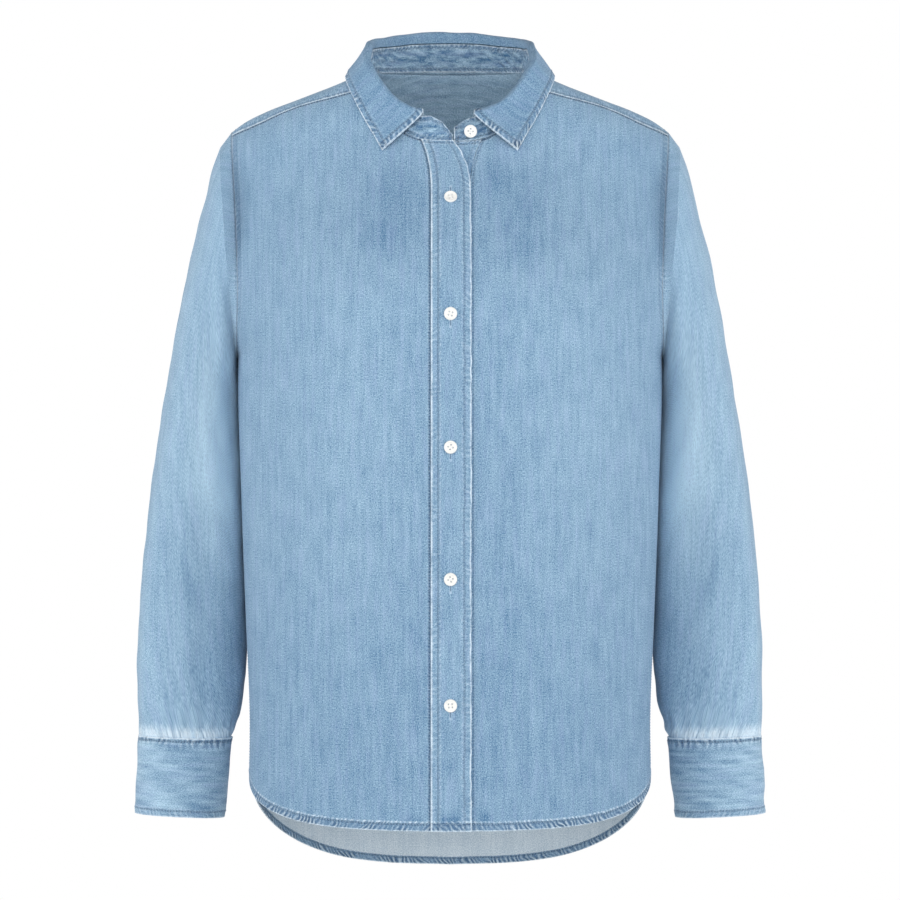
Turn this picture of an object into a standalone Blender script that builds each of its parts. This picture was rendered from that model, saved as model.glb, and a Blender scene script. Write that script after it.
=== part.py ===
"""Denim shirt, filled out and hollow: fronts, placket, back, yoke, sleeves, cuffs, collar and buttons.

Frame: x to the wearer's left, the front faces -y, z up. The origin is the middle of the neck at the
height where the shoulders meet the collar. Sizes below are millimetres and become metres in the mesh.
"""

import math

import bmesh
import bpy
import numpy as np
from mathutils import Vector

MM = 0.001

# Cloth
CLOTH = 1.2  # one layer of denim with its turnings
DOUBLE = 2.0  # two layers and interlining: cuffs and collar
PLACKET_WALL = 2.2
UNDER_WALL = 1.8
LINING = 1.0
SEAM = 0.3  # parting between two sewn pieces

# Torso
MID_Y = 4.0  # depth of the shoulder ridge and the side seams
SHOULDER_ROUND = 40.0
FULL_DEPTH_AT = 225.0  # drop below the ridge where the chest is at its deepest
ROUNDNESS = 2.4
SHOULDER_X = 196.0
NECK_X = 68.0
NECK_BACK_HALF = 67.5  # the raised back of the neck reaches this far to each side
NECK_BACK = 52.0
ARMHOLE_TOP = -42.0
ARMHOLE_BOTTOM = -245.0
ARMHOLE_WIDEST = -165.0
ARMHOLE_DEPTH = 0.55  # share of the chest depth reached by the armhole seam

# Placket, in the width across the closed front
PLACKET_INNER = -16.6
PLACKET_EDGE = 18.6
UNDER_EDGE = -10.0
UNDER_SEAM = 17.5
OPEN_FROM = -112.0  # above this the unbuttoned neck lets the fronts part
OPEN_RIGHT_SEAM = -10.5
OPEN_RIGHT_EDGE = -19.5
OPEN_LEFT_SEAM = 12.0
OPEN_LEFT_EDGE = 15.5
OPEN_OVER = 62.0
OPEN_UP_TO = -53.0  # the fronts' edges end here, at the neck seam

BUTTON_RADIUS = 5.8
BUTTON_THICK = 2.6
BUTTON_X = 0.5
BUTTON_Z = (-107.2, -210.0, -326.0, -441.0, -551.0)
STAND_BUTTON_X = 18.5
STAND_BUTTON_UP = 8.0
STAND_MEETS_RIGHT = 2.4  # the stand's two ends meet just left of the middle
STAND_MEETS_LEFT = 3.6
STAND_UP = 1.1  # the stand's lower edge is this far above the neck seam
NECK_TRIM = 1.3  # and the fronts' upper edge this far below it

CUFF_TURN = 24.0  # degrees by which the cuff laps itself
CUFF_LAP_AT = 205.0  # degrees round from the top or outer line, through the front

# height: ridge of the shoulder against distance from the middle
RIDGE = {
    "x": (0.0, 35.0, 70.0, 110.0, 140.0, 166.0, 186.0, 196.0, 206.0),
    "z": (18.0, 16.8, 12.6, -2.7, -14.2, -24.3, -34.6, -42.0, -50.0),
}

# torso outline going down: half width at the side, depth of the front and back from the ridge
BODY = {
    "z": (0.0, -46.0, -124.0, -194.0, -245.0, -373.0, -480.0, -571.0, -640.0, -720.0),
    "half": (197.0, 196.0, 191.2, 188.6, 190.5, 187.5, 183.5, 180.0, 181.0, 181.0),
    "front": (122.0, 122.0, 124.0, 126.0, 127.0, 126.0, 124.0, 122.0, 121.0, 120.0),
    "back": (112.0, 112.0, 114.0, 115.0, 115.0, 112.0, 110.0, 110.0, 110.0, 109.0),
}

# neckline on the fronts: height against distance from the middle
NECKLINE = {
    "x": (0.0, 14.0, 28.0, 42.0, 54.0, 63.0, 70.0),
    "z": (-54.3, -54.0, -52.3, -45.8, -35.0, -21.5, -5.5),
}

# drop of the yoke's front seam below the ridge
YOKE_FRONT = {
    "x": (70.0, 94.0, 135.0, 185.0, 196.0),
    "drop": (18.1, 14.0, 8.0, 7.5, 4.0),
}
YOKE_BACK_Z = -85.0

# hem height against the angle round the body from the middle to the side seam
HEM = {
    "angle": (0.0, 20.0, 35.0, 48.0, 61.0, 74.0, 90.0),
    "front": (-661.0, -660.0, -658.0, -654.0, -647.0, -637.0, -620.0),
    "back": (-713.5, -710.5, -703.5, -691.5, -674.5, -653.0, -620.0),
}

# sleeve sections: outer end and inner end of each, half depth and mid depth
SLEEVE = {
    "outer_x": (206.5, 213.5, 220.0, 227.8, 236.3, 244.5, 252.8, 261.5, 270.0, 276.8, 281.3, 283.6,
                283.6, 282.6, 282.0),
    "outer_z": (-56.0, -75.0, -100.0, -130.0, -165.0, -205.0, -250.0, -300.0, -355.0, -410.0, -465.0,
                -515.0, -553.0, -575.0, -586.0),
    "inner_x": (193.0, 194.0, 194.2, 193.8, 192.8, 191.2, 189.6, 188.2, 186.2, 184.4, 183.2, 183.6,
                186.3, 193.0, 198.5),
    "inner_z": (-246.5, -249.5, -252.5, -256.0, -261.0, -268.0, -281.0, -313.0, -361.0, -413.0,
                -467.0, -517.0, -555.0, -577.0, -588.0),
    "depth": (58.0, 61.0, 64.5, 67.5, 70.0, 70.5, 70.0, 67.0, 62.5, 57.5, 52.0, 45.0, 39.0, 33.5,
              30.5),
    "mid_y": (5.0, 8.0, 11.0, 15.0, 19.5, 25.0, 29.5, 33.0, 35.0, 36.0, 36.0, 34.0, 30.0, 28.0,
              27.0),
}

# cuff sections
CUFF = {
    "outer_x": (281.8, 283.3, 285.0),
    "outer_z": (-586.6, -622.0, -656.5),
    "inner_x": (199.3, 202.5, 206.0),
    "inner_z": (-588.6, -625.0, -660.5),
    "depth": (31.0, 30.0, 29.0),
    "mid_y": (27.0, 25.5, 23.5),
}

# collar stand: height at each front end and lean away from the neck against distance from the end
STAND = {
    "run": (0.0, 4.0, 8.0, 14.0, 19.0, 29.0, 50.0, 70.0, 100.0, 120.0, 140.0, 160.0, 180.0, 205.0),
    "height_right": (4.2, 9.6, 14.4, 18.2, 20.4, 19.2, 19.4, 20.8, 20.2, 18.5, 18.5, 20.5, 21.5, 24.0),
    "height_left": (10.8, 15.0, 16.6, 18.6, 19.6, 19.2, 19.4, 20.8, 20.2, 18.5, 18.5, 20.5, 21.5, 24.0),
    "lean": (0.0, 0.0, 0.0, 0.0, 0.0, 0.02, 0.10, 0.14, 0.15, 0.14, 0.14, 0.16, 0.20, 0.24),
}

# collar leaf, half of it: where its edge lies on the shirt, how far it stands off, how far it rises
# from the stand, the radius of its roll and how far it falls straight on from the roll
LEAF = {
    "run": (0.0, 0.10, 0.22, 0.36, 0.50, 0.66, 0.82, 1.0),
    "edge_x": (60.0, 72.6, 82.8, 91.0, 91.8, 77.5, 45.0, 0.0),
    "edge_run": (-8.88, -7.3, -5.5, -3.0, 0.0, 3.6, 4.8, 5.0),
    "stand_off": (1.2, 1.4, 1.8, 2.2, 2.8, 7.0, 10.0, 11.0),
    "rise": (1.3, 1.6, 2.0, 2.8, 3.4, 4.2, 5.2, 6.0),
    "roll": (3.9, 3.9, 4.0, 3.8, 3.4, 3.8, 4.4, 4.8),
    "fall": (4.0, 4.5, 5.0, 5.5, 6.0, 7.0, 9.0, 10.0),
}
LEAF_START_RIGHT = 26.0  # distance along the stand from each end to the leaf
LEAF_START_LEFT = 17.5
ROLL_TURNS = (180.0, 138.0, 96.0, 54.0, 14.0)  # degrees over the roll, from its inner side
LEAF_FALL_ROWS = 6

DENIM = (0.19, 0.35, 0.53, 1.0)
DENIM_PALE = (0.30, 0.45, 0.60, 1.0)
SHELL_WHITE = (0.86, 0.86, 0.84, 1.0)


def table(rows, key, name, at):
    """Value of a column at a place in the table, on a smooth curve through its rows."""
    keys = np.array(rows[key])
    values = np.array(rows[name])
    if keys[0] > keys[-1]:
        keys = keys[::-1]
        values = values[::-1]
    at = min(max(at, keys[0]), keys[-1])
    slopes = np.gradient(values, keys)
    i = min(int(np.searchsorted(keys, at, side="right")) - 1, len(keys) - 2)
    span = keys[i + 1] - keys[i]
    t = (at - keys[i]) / span
    rise = values[i + 1] - values[i]
    a = slopes[i] * span - rise
    b = rise - slopes[i + 1] * span
    return values[i] + t * rise + t * (1 - t) * (a * (1 - t) + b * t)


def smooth(t):
    t = min(max(t, 0.0), 1.0)
    return t * t * (3 - 2 * t)


def ridge_z(x):
    return table(RIDGE, "x", "z", abs(x))


def side_x(z):
    """Half width at the side seam, or at the armhole seam above it."""
    return table(BODY, "z", "half", z)


def armhole_share(z):
    """Share of the chest depth at the armhole seam; it closes to nothing at the underarm."""
    if z >= ARMHOLE_WIDEST:
        return ARMHOLE_DEPTH
    t = (ARMHOLE_WIDEST - z) / (ARMHOLE_WIDEST - ARMHOLE_BOTTOM)
    return ARMHOLE_DEPTH * math.sqrt(max(1 - t * t, 0.0))


def full_width(z):
    """Half width of the whole rounded section that the armhole cuts short."""
    share = armhole_share(z)
    return side_x(z) / (1 - share ** ROUNDNESS) ** (1 / ROUNDNESS)


def depth_squared(x, z, face):
    """Square of the distance from the ridge plane to the cloth, face -1 in front and 1 behind."""
    drop = ridge_z(x) - z
    name = "front" if face < 0 else "back"
    full = table(BODY, "z", name, z)
    arc = drop * (2 * SHOULDER_ROUND - drop)
    if drop > SHOULDER_ROUND:
        arc = SHOULDER_ROUND ** 2
    swell = (full - SHOULDER_ROUND) * smooth(drop / FULL_DEPTH_AT)
    depth = math.copysign(math.sqrt(abs(arc)), arc) + swell
    square = depth * abs(depth)
    if face > 0 and abs(x) < NECK_BACK_HALF:
        neck = NECK_BACK * math.sqrt(1 - (x / NECK_BACK_HALF) ** 2)
        square = (neck ** 3 + max(square, 0.0) ** 1.5) ** (2 / 3)
    round_off = 1 - (abs(x) / full_width(z)) ** ROUNDNESS
    share = math.copysign(abs(round_off) ** (2 / ROUNDNESS), round_off)
    return square * share


def on_torso(x, z, face):
    return np.array((x, MID_Y + face * math.sqrt(max(depth_squared(x, z, face), 0.0)), z))


def torso_normal(point, face):
    """Direction out of the cloth, from the slope of the torso's surface."""
    step = 0.2

    def level(x, y, z):
        return (y - MID_Y) ** 2 - depth_squared(x, z, face)

    x, y, z = point
    slope = np.array((
        level(x + step, y, z) - level(x - step, y, z),
        level(x, y + step, z) - level(x, y - step, z),
        level(x, y, z + step) - level(x, y, z - step),
    ))
    return slope / max(np.linalg.norm(slope), 1e-9)


def armhole_inward(point):
    """Direction from the armhole seam towards the middle of the armhole, in its own plane."""
    middle = (ARMHOLE_TOP + ARMHOLE_BOTTOM) / 2
    tall = (ARMHOLE_TOP - ARMHOLE_BOTTOM) / 2
    deep = 62.0
    away = np.array((0.0, (point[1] - MID_Y) / deep ** 2, (point[2] - middle) / tall ** 2))
    return -away / np.linalg.norm(away)


def moved_out(points, faces, distance):
    """The points of a panel moved off the cloth by a distance."""
    out = np.array(points)
    for i in range(out.shape[0]):
        for j in range(out.shape[1]):
            out[i, j] += distance * torso_normal(points[i][j], faces[i][j])
    return out


def opening(z, most):
    """Sideways parting of the unbuttoned fronts near the neck."""
    if z <= OPEN_FROM:
        return 0.0
    return most * ((min(z, OPEN_UP_TO) - OPEN_FROM) / OPEN_OVER) ** 3


def front_top(x):
    if abs(x) <= NECKLINE["x"][-1]:
        return table(NECKLINE, "x", "z", abs(x))
    return ridge_z(x) - table(YOKE_FRONT, "x", "drop", abs(x))


def trim(x):
    """How far a front's upper edge stays below its seam, to the stand or to the yoke."""
    return NECK_TRIM if abs(x) < NECKLINE["x"][-1] - 4.0 else SEAM / 2


def spread_heights(top, hem, rows):
    """Heights from top to hem, closer together at the top where the shape turns most."""
    shares = np.linspace(0.0, 1.0, rows) ** 1.7
    return top + (hem - top) * shares


def column_heights(x_at, angle_at, face, rows):
    """Heights down one column from the top seam to the hem."""
    top = -60.0
    for _ in range(12):
        x = x_at(top)
        top = (front_top(x) - trim(x)) if face < 0 else YOKE_BACK_Z - SEAM / 2
    hem_name = "front" if face < 0 else "back"
    hem = -620.0
    for _ in range(6):
        hem = table(HEM, "angle", hem_name, angle_at(hem))
    return spread_heights(top, hem, rows)


def panel_points(sign, face, columns, rows, inner_x, edge_gap):
    """Points of a torso panel, from its inner edge to the armhole and side seam."""
    points = np.zeros((columns, rows, 3))
    for i in range(columns):
        share = i / (columns - 1)

        def angle_at(z):
            full = full_width(z)
            first = math.asin(max(-1.0, min(1.0, inner_x(z) / full)))
            last = math.asin(min(1.0, side_x(z) / full))
            return first + (last - first) * share

        def x_at(z):
            return full_width(z) * math.sin(angle_at(z))

        heights = column_heights(x_at, lambda z: math.degrees(abs(angle_at(z))), face, rows)
        for j, z in enumerate(heights):
            points[i, j] = on_torso(sign * x_at(z), z, face)
            if i == columns - 1:
                points[i, j, 1] += face * edge_gap
    return points


def panel_inward(points, face, armhole_ends):
    """Directions in which a torso panel's cloth is thick; along the armhole they lie in its plane."""
    inward = np.zeros_like(points)
    for i in range(points.shape[0]):
        for j in range(points.shape[1]):
            inward[i, j] = -torso_normal(points[i, j], face)
    for i in armhole_ends:
        for j in range(points.shape[1]):
            if points[i, j, 2] > ARMHOLE_BOTTOM - 2.0:
                inward[i, j] = armhole_inward(points[i, j])
            else:
                inward[i, j] = (-math.copysign(1.0, points[i, j, 0]), 0.0, 0.0)
    return inward


def make_material(name, colour, roughness):
    material = bpy.data.materials.new(name)
    material.use_nodes = True
    shader = material.node_tree.nodes["Principled BSDF"]
    shader.inputs["Base Color"].default_value = colour
    shader.inputs["Roughness"].default_value = roughness
    shader.inputs["Metallic"].default_value = 0.0
    return material


def add_object(name, mesh_data, colour, roughness):
    mesh = bpy.data.meshes.new(name)
    mesh_data.to_mesh(mesh)
    mesh_data.free()
    mesh.shade_smooth()
    mesh.set_sharp_from_angle(angle=math.radians(50))
    mesh.materials.append(make_material(name + "_finish", colour, roughness))
    thing = bpy.data.objects.new(name, mesh)
    bpy.context.collection.objects.link(thing)
    return thing


def make_wall(name, outer, inner, colour=DENIM, ring=False):
    """One closed wall between an outer and an inner grid of points; a ring joins its last column."""
    shape = bmesh.new()
    columns, rows = outer.shape[:2]
    skins = [
        [[shape.verts.new(Vector(p) * MM) for p in column] for column in grid]
        for grid in (outer, inner)
    ]
    near, far = skins
    spans = columns if ring else columns - 1
    for i in range(spans):
        k = (i + 1) % columns
        for j in range(rows - 1):
            shape.faces.new((near[i][j], near[k][j], near[k][j + 1], near[i][j + 1]))
            shape.faces.new((far[i][j + 1], far[k][j + 1], far[k][j], far[i][j]))
        for j in (0, rows - 1):
            rim = (near[i][j], far[i][j], far[k][j], near[k][j])
            shape.faces.new(rim if j == 0 else rim[::-1])
    if not ring:
        for i in (0, columns - 1):
            for j in range(rows - 1):
                rim = (near[i][j], near[i][j + 1], far[i][j + 1], far[i][j])
                shape.faces.new(rim if i == 0 else rim[::-1])
    bmesh.ops.triangulate(shape, faces=shape.faces[:])
    bmesh.ops.recalc_face_normals(shape, faces=shape.faces[:])
    return add_object(name, shape, colour, 0.85)


def make_front(name, sign):
    """A front from its placket seam to the side; the left one dips under the placket's edge."""
    most = OPEN_RIGHT_SEAM if sign < 0 else OPEN_LEFT_SEAM
    seam = -PLACKET_INNER if sign < 0 else UNDER_SEAM

    def inner_x(z):
        return seam + SEAM + sign * opening(z, most) + 0.02 * abs(opening(z, most))

    points = panel_points(sign, -1, 13, 27, inner_x, SEAM / 2)
    inward = panel_inward(points, -1, (12,))
    if sign > 0:
        for i in range(points.shape[0]):
            for j in range(points.shape[1]):
                x, _, z = points[i, j]
                past = x - opening(z, most) - UNDER_SEAM - 3.0
                points[i, j] += 1.8 * (1 - smooth(past / 16.0)) * inward[i, j]
    make_wall(name, points, points + CLOTH * inward)


def make_strip(name, first, last, parting, lift, wall, columns):
    """A strip along the front edge, laid off the fronts' own surface."""
    rows = 27
    points = np.zeros((columns, rows, 3))
    for i in range(columns):
        share = i / (columns - 1)
        flat_x = first + (last - first) * share
        most = parting[0] + (parting[1] - parting[0]) * share
        top = -54.0
        for _ in range(12):
            x = flat_x + opening(top, most)
            top = front_top(x) - trim(x)
        hem = table(HEM, "angle", "front", abs(flat_x) / 3.0)
        for j, z in enumerate(spread_heights(top, hem, rows)):
            points[i, j] = on_torso(flat_x + opening(z, most), z, -1)
    inward = panel_inward(points, -1, ())
    outer = points - lift * inward
    make_wall(name, outer, outer + wall * inward)


def make_back():
    """The back in one piece, from side to side under the yoke."""
    half = panel_points(1, 1, 11, 23, lambda z: 0.0, SEAM / 2)
    mirrored = half[:0:-1] * np.array((-1.0, 1.0, 1.0))
    points = np.concatenate((mirrored, half))
    inward = panel_inward(points, 1, (0, points.shape[0] - 1))
    make_wall("back", points, points + CLOTH * inward)


def yoke_place(x, run):
    """Point of the yoke from a signed run over the ridge: its square is the drop below the ridge."""
    face = -1 if run < 0 else 1
    return on_torso(x, ridge_z(x) - run * run, face), face


NECK_SIDE = (
    (NECK_X, 0.0),
    (68.6, -1.6),
    (69.2, -2.9),
)  # from the ridge forward to the yoke's front seam: distance from the middle and signed run


def neck_back():
    """Half the neck seam on the yoke's back: from the middle to just behind the ridge."""
    return [(NECK_X * math.cos(math.radians(turn)), 0.6) for turn in (90, 72, 55, 39, 25, 12)]


def yoke_tops():
    """Upper boundary of half the yoke: from the middle of the neck to the shoulder's front seam."""
    tops = neck_back() + list(NECK_SIDE)
    first = NECKLINE["x"][-1]
    steps = 8
    for i in range(steps + 1):
        x = first + (SHOULDER_X - first) * i / steps
        tops.append((x, -math.sqrt(table(YOKE_FRONT, "x", "drop", x))))
    return tops


def yoke_points(rows):
    """Points of the yoke and their faces, from one shoulder round the neck to the other."""
    tops = yoke_tops()
    last = len(tops) - 1
    neck_count = len(tops) - 9
    half = []
    faces = []
    for i, (x, run) in enumerate(tops):
        foot_x = NECKLINE["x"][-1] * min(i / neck_count, 1.0)
        if i > neck_count:
            foot_x = x
        foot_run = math.sqrt(ridge_z(foot_x) - YOKE_BACK_Z - SEAM)
        column = []
        column_faces = []
        for j in range(rows):
            here_run = run + (foot_run - run) * j / (rows - 1)
            here_x = x + (foot_x - x) * max(here_run, 0.0) / foot_run
            if i == last:
                here_x = side_x(ridge_z(x) - here_run * here_run)
            if j == 0 and i >= neck_count:
                here_run += SEAM / (2 * abs(run))
            point, face = yoke_place(here_x, here_run)
            column.append(point)
            column_faces.append(face)
        half.append(column)
        faces.append(column_faces)
    half = np.array(half)
    mirrored = half[:0:-1] * np.array((-1.0, 1.0, 1.0))
    return np.concatenate((mirrored, half)), faces[:0:-1] + faces


def make_yoke():
    """Both layers of the yoke; the inner one is made from the outer one's points, moved in."""
    points, faces = yoke_points(9)
    inward = -(moved_out(points, faces, 1.0) - points)
    for i in (0, points.shape[0] - 1):
        for j in range(points.shape[1]):
            inward[i, j] = armhole_inward(points[i, j])
    make_wall("yoke", points, points + CLOTH * inward)
    inner = points + (CLOTH + SEAM + 0.1) * inward
    make_wall("yoke_lining", inner, inner + LINING * inward, DENIM_PALE)


def ring_points(rows, index, sign, count, turn_from=0.0, turn_over=360.0, swell=0.0):
    """One section of a sleeve or cuff, running from its outer line through the front."""
    top = np.array((rows["outer_x"][index], 0.0, rows["outer_z"][index]))
    foot = np.array((rows["inner_x"][index], 0.0, rows["inner_z"][index]))
    middle = (top + foot) / 2
    reach = (top - foot) / 2
    points = []
    for i in range(count):
        turn = math.radians(turn_from + turn_over * i / count)
        c, s = math.cos(turn), math.sin(turn)
        size = 1 / (abs(c) ** 2.2 + abs(s) ** 2.2) ** (1 / 2.2)
        grow = 1 + swell * i / count
        point = middle + grow * size * c * reach
        point[1] = rows["mid_y"][index] - grow * size * s * rows["depth"][index]
        points.append(point)
    return np.array(points) * np.array((sign, 1.0, 1.0))


def armhole_points(sign, count):
    """The armhole seam, from the shoulder through the front, taken from the torso's surface."""
    middle = (ARMHOLE_TOP + ARMHOLE_BOTTOM) / 2
    tall = (ARMHOLE_TOP - ARMHOLE_BOTTOM) / 2
    points = []
    for i in range(count):
        turn = 2 * math.pi * i / count
        z = middle + tall * math.cos(turn)
        face = -1 if turn < math.pi else 1
        point = on_torso(side_x(z), z, face)
        point[0] += SEAM
        points.append(point)
    return np.array(points) * np.array((sign, 1.0, 1.0))


def grid_inward(points, ring):
    """Directions into a tube's wall, from the slopes of its own grid."""
    if ring:
        along = np.roll(points, -1, axis=0) - np.roll(points, 1, axis=0)
    else:
        along = np.gradient(points, axis=0)
    down = np.gradient(points, axis=1)
    across = np.cross(along, down)
    across /= np.linalg.norm(across, axis=2, keepdims=True)
    middle = points.mean(axis=0, keepdims=True)
    if np.sum(across * (middle - points)) < 0:
        across = -across
    return across


def make_sleeve(name, sign):
    count = 18
    rings = [armhole_points(sign, count)]
    for index in range(len(SLEEVE["depth"])):
        rings.append(ring_points(SLEEVE, index, sign, count))
    points = np.array(rings).transpose(1, 0, 2)
    inward = grid_inward(points, True)
    for i in range(count):
        inward[i, 0] = armhole_inward(points[i, 0])
    make_wall(name, points, points + CLOTH * inward, ring=True)


def make_cuff(name, sign):
    """A band that laps over itself on the outer side towards the back."""
    count = 30
    over = 360.0 + CUFF_TURN
    rings = []
    for index in range(len(CUFF["depth"])):
        rings.append(ring_points(CUFF, index, sign, count, CUFF_LAP_AT + 90.0, over, 0.085))
    points = np.array(rings).transpose(1, 0, 2)
    inward = grid_inward(points, False)
    make_wall(name, points, points + DOUBLE * inward)
    return points, inward


def neck_curve(count, overlap):
    """Neck seam from the right front's edge round the back to the left front's edge."""
    half = []
    for x in np.linspace(0.0, NECKLINE["x"][-1], 18):
        half.append(on_torso(x, front_top(x), -1))
    for x, run in NECK_SIDE[::-1] + tuple(neck_back()[::-1]):
        half.append(yoke_place(x, run)[0])
    half = np.array(half)
    start = np.array((-overlap[0], half[0][1], half[0][2]))
    end = np.array((-overlap[1], half[0][1], half[0][2]))
    left = half * np.array((-1.0, 1.0, 1.0))
    whole = np.concatenate(([start], left[1:], half[-2:0:-1], [end]))
    lengths = np.concatenate(([0.0], np.cumsum(np.linalg.norm(np.diff(whole, axis=0), axis=1))))
    places = np.linspace(0.0, lengths[-1], count)
    curve = np.array([np.interp(places, lengths, whole[:, k]) for k in range(3)]).T
    return curve, places


def stand_rows(count, rows):
    """Outer points of the collar stand, from its lower seam up, with directions into its wall."""
    curve, places = neck_curve(count, (-STAND_MEETS_RIGHT, -STAND_MEETS_LEFT))
    total = places[-1]
    tangent = np.gradient(curve, axis=0)
    inward = np.cross(np.array((0.0, 0.0, 1.0)), tangent)
    inward /= np.linalg.norm(inward, axis=1, keepdims=True)
    if inward[0][1] < 0:
        inward = -inward
    points = np.zeros((count, rows, 3))
    for i in range(count):
        run = min(places[i], total - places[i])
        end = "height_right" if places[i] < total / 2 else "height_left"
        height = table(STAND, "run", end, run)
        lean = table(STAND, "run", "lean", run)
        for j in range(rows):
            up = STAND_UP + height * j / (rows - 1)
            base = curve[i] - lean * up * inward[i]
            points[i, j] = base + np.array((0.0, 0.0, up))
    wall = np.repeat(inward[:, None, :], rows, axis=1)
    return points, wall, places


def make_stand():
    points, inward, _ = stand_rows(49, 4)
    make_wall("collar_stand", points, points + DOUBLE * inward)


def rolled(start, top, out, radius, fall, edge):
    """One line of the leaf: straight up, round the roll and down to its edge."""
    line = [start]
    upward = np.array((0.0, 0.0, 1.0))
    middle = top + radius * out
    for turn in ROLL_TURNS:
        c, s = math.cos(math.radians(turn)), math.sin(math.radians(turn))
        line.append(middle + radius * (c * out + s * upward))
    foot = line[-1]
    onward = s * out - c * upward
    handles = (foot, foot + fall * onward, foot + 0.62 * (edge - foot) + 1.5 * out, edge)
    for j in range(LEAF_FALL_ROWS):
        t = (j + 1) / LEAF_FALL_ROWS
        weights = ((1 - t) ** 3, 3 * t * (1 - t) ** 2, 3 * t * t * (1 - t), t ** 3)
        line.append(sum(w * h for w, h in zip(weights, handles)))
    return np.array(line)


def make_leaf():
    """The leaf: sewn to the top of the stand, rolled over it and lying on the shoulders."""
    stand, inward, places = stand_rows(97, 4)
    total = places[-1]
    columns = 41
    rows = 1 + len(ROLL_TURNS) + LEAF_FALL_ROWS
    points = np.zeros((columns, rows, 3))
    outward = np.zeros((columns, 3))
    for i in range(columns):
        share = i / (columns - 1)
        half_run = 1 - abs(2 * share - 1)
        side = -1.0 if share < 0.5 else 1.0
        start_run = LEAF_START_RIGHT if side < 0 else LEAF_START_LEFT
        place = start_run + (total / 2 - start_run) * half_run
        if side > 0:
            place = total - place
        seam = np.array([np.interp(place, places, stand[:, -1, k]) for k in range(3)])
        into = np.array([np.interp(place, places, inward[:, -1, k]) for k in range(3)])
        into /= np.linalg.norm(into)
        outward[i] = -into
        start = seam + DOUBLE * into + np.array((0.0, 0.0, 3 * SEAM))
        edge_x = side * table(LEAF, "run", "edge_x", half_run)
        edge, face = yoke_place(edge_x, table(LEAF, "run", "edge_run", half_run))
        off = DOUBLE + table(LEAF, "run", "stand_off", half_run)
        edge = edge + off * torso_normal(edge, face)
        rise = np.array((0.0, 0.0, table(LEAF, "run", "rise", half_run)))
        points[i] = rolled(start, start + rise, -into, table(LEAF, "run", "roll", half_run),
                           table(LEAF, "run", "fall", half_run), edge)
    under = grid_inward(points, False)
    middle = columns // 2
    if under[middle, 0, 1] < 0:
        under = -under
    under[:, 0] = outward
    make_wall("collar_leaf", points, points + DOUBLE * under)


def make_button(name, seat, normal, radius=BUTTON_RADIUS):
    """A turned button with a raised rim and a dished middle, standing on its seat."""
    profile = (
        (0.0, 0.0),
        (radius * 0.82, 0.0),
        (radius, BUTTON_THICK * 0.45),
        (radius * 0.9, BUTTON_THICK),
        (radius * 0.62, BUTTON_THICK * 0.72),
        (0.0, BUTTON_THICK * 0.66),
    )
    shape = bmesh.new()
    verts = [shape.verts.new((r * MM, 0.0, h * MM)) for r, h in profile]
    edges = [shape.edges.new((a, b)) for a, b in zip(verts, verts[1:])]
    bmesh.ops.spin(shape, geom=verts + edges, axis=(0, 0, 1), cent=(0, 0, 0), steps=16,
                   angle=2 * math.pi)
    bmesh.ops.remove_doubles(shape, verts=shape.verts[:], dist=0.00001)
    bmesh.ops.recalc_face_normals(shape, faces=shape.faces[:])
    turn = Vector((0, 0, 1)).rotation_difference(Vector(normal))
    bmesh.ops.rotate(shape, verts=shape.verts[:], matrix=turn.to_matrix())
    bmesh.ops.translate(shape, verts=shape.verts[:], vec=Vector(seat) * MM)
    add_object(name, shape, SHELL_WHITE, 0.3)


def make_buttons():
    for index, z in enumerate(BUTTON_Z):
        point = on_torso(BUTTON_X, z, -1)
        normal = torso_normal(point, -1)
        make_button(f"button_{index + 1}", point + (1.0 + SEAM) * normal, normal)
    points, inward, _ = stand_rows(97, 4)
    column = int(np.argmin(np.abs(points[60:, 0, 0] - STAND_BUTTON_X))) + 60
    normal = -inward[column, 0]
    seat = points[column, 0] + np.array((0.0, 0.0, STAND_BUTTON_UP)) + 0.9 * normal
    make_button("stand_button", seat, normal)


def main():
    for thing in list(bpy.data.objects):
        bpy.data.objects.remove(thing)
    make_front("front_right", -1)
    make_front("front_left", 1)
    make_strip("placket", PLACKET_INNER, PLACKET_EDGE, (OPEN_RIGHT_SEAM, OPEN_RIGHT_EDGE), 1.0,
               PLACKET_WALL, 5)
    make_strip("under_placket", UNDER_EDGE, UNDER_SEAM, (OPEN_LEFT_EDGE, OPEN_LEFT_SEAM), -1.6,
               UNDER_WALL, 5)
    make_back()
    make_yoke()
    make_stand()
    make_leaf()
    for side, sign in (("right", -1), ("left", 1)):
        make_sleeve("sleeve_" + side, sign)
        points, inward = make_cuff("cuff_" + side, sign)
        column = points.shape[0] - 3
        seat = points[column, 1] - SEAM * inward[column, 1]
        make_button("cuff_button_" + side, seat, -inward[column, 1])
    make_buttons()


main()
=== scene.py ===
import math
from functools import partial

import bpy
import numpy as np
from mathutils import Matrix, Vector


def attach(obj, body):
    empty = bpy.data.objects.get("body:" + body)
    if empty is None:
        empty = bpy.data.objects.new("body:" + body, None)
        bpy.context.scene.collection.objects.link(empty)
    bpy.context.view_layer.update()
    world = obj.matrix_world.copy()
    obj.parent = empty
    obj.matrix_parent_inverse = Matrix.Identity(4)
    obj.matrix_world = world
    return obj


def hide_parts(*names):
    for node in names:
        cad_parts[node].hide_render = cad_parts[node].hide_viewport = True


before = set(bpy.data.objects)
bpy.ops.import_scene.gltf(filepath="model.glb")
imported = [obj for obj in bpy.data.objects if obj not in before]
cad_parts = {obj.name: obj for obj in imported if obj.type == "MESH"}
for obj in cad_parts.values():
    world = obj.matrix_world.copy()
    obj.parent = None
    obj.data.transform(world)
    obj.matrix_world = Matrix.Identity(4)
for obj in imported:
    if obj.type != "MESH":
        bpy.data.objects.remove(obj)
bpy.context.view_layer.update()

mm = 0.001


# small helpers: numbers, tables and colours

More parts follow.
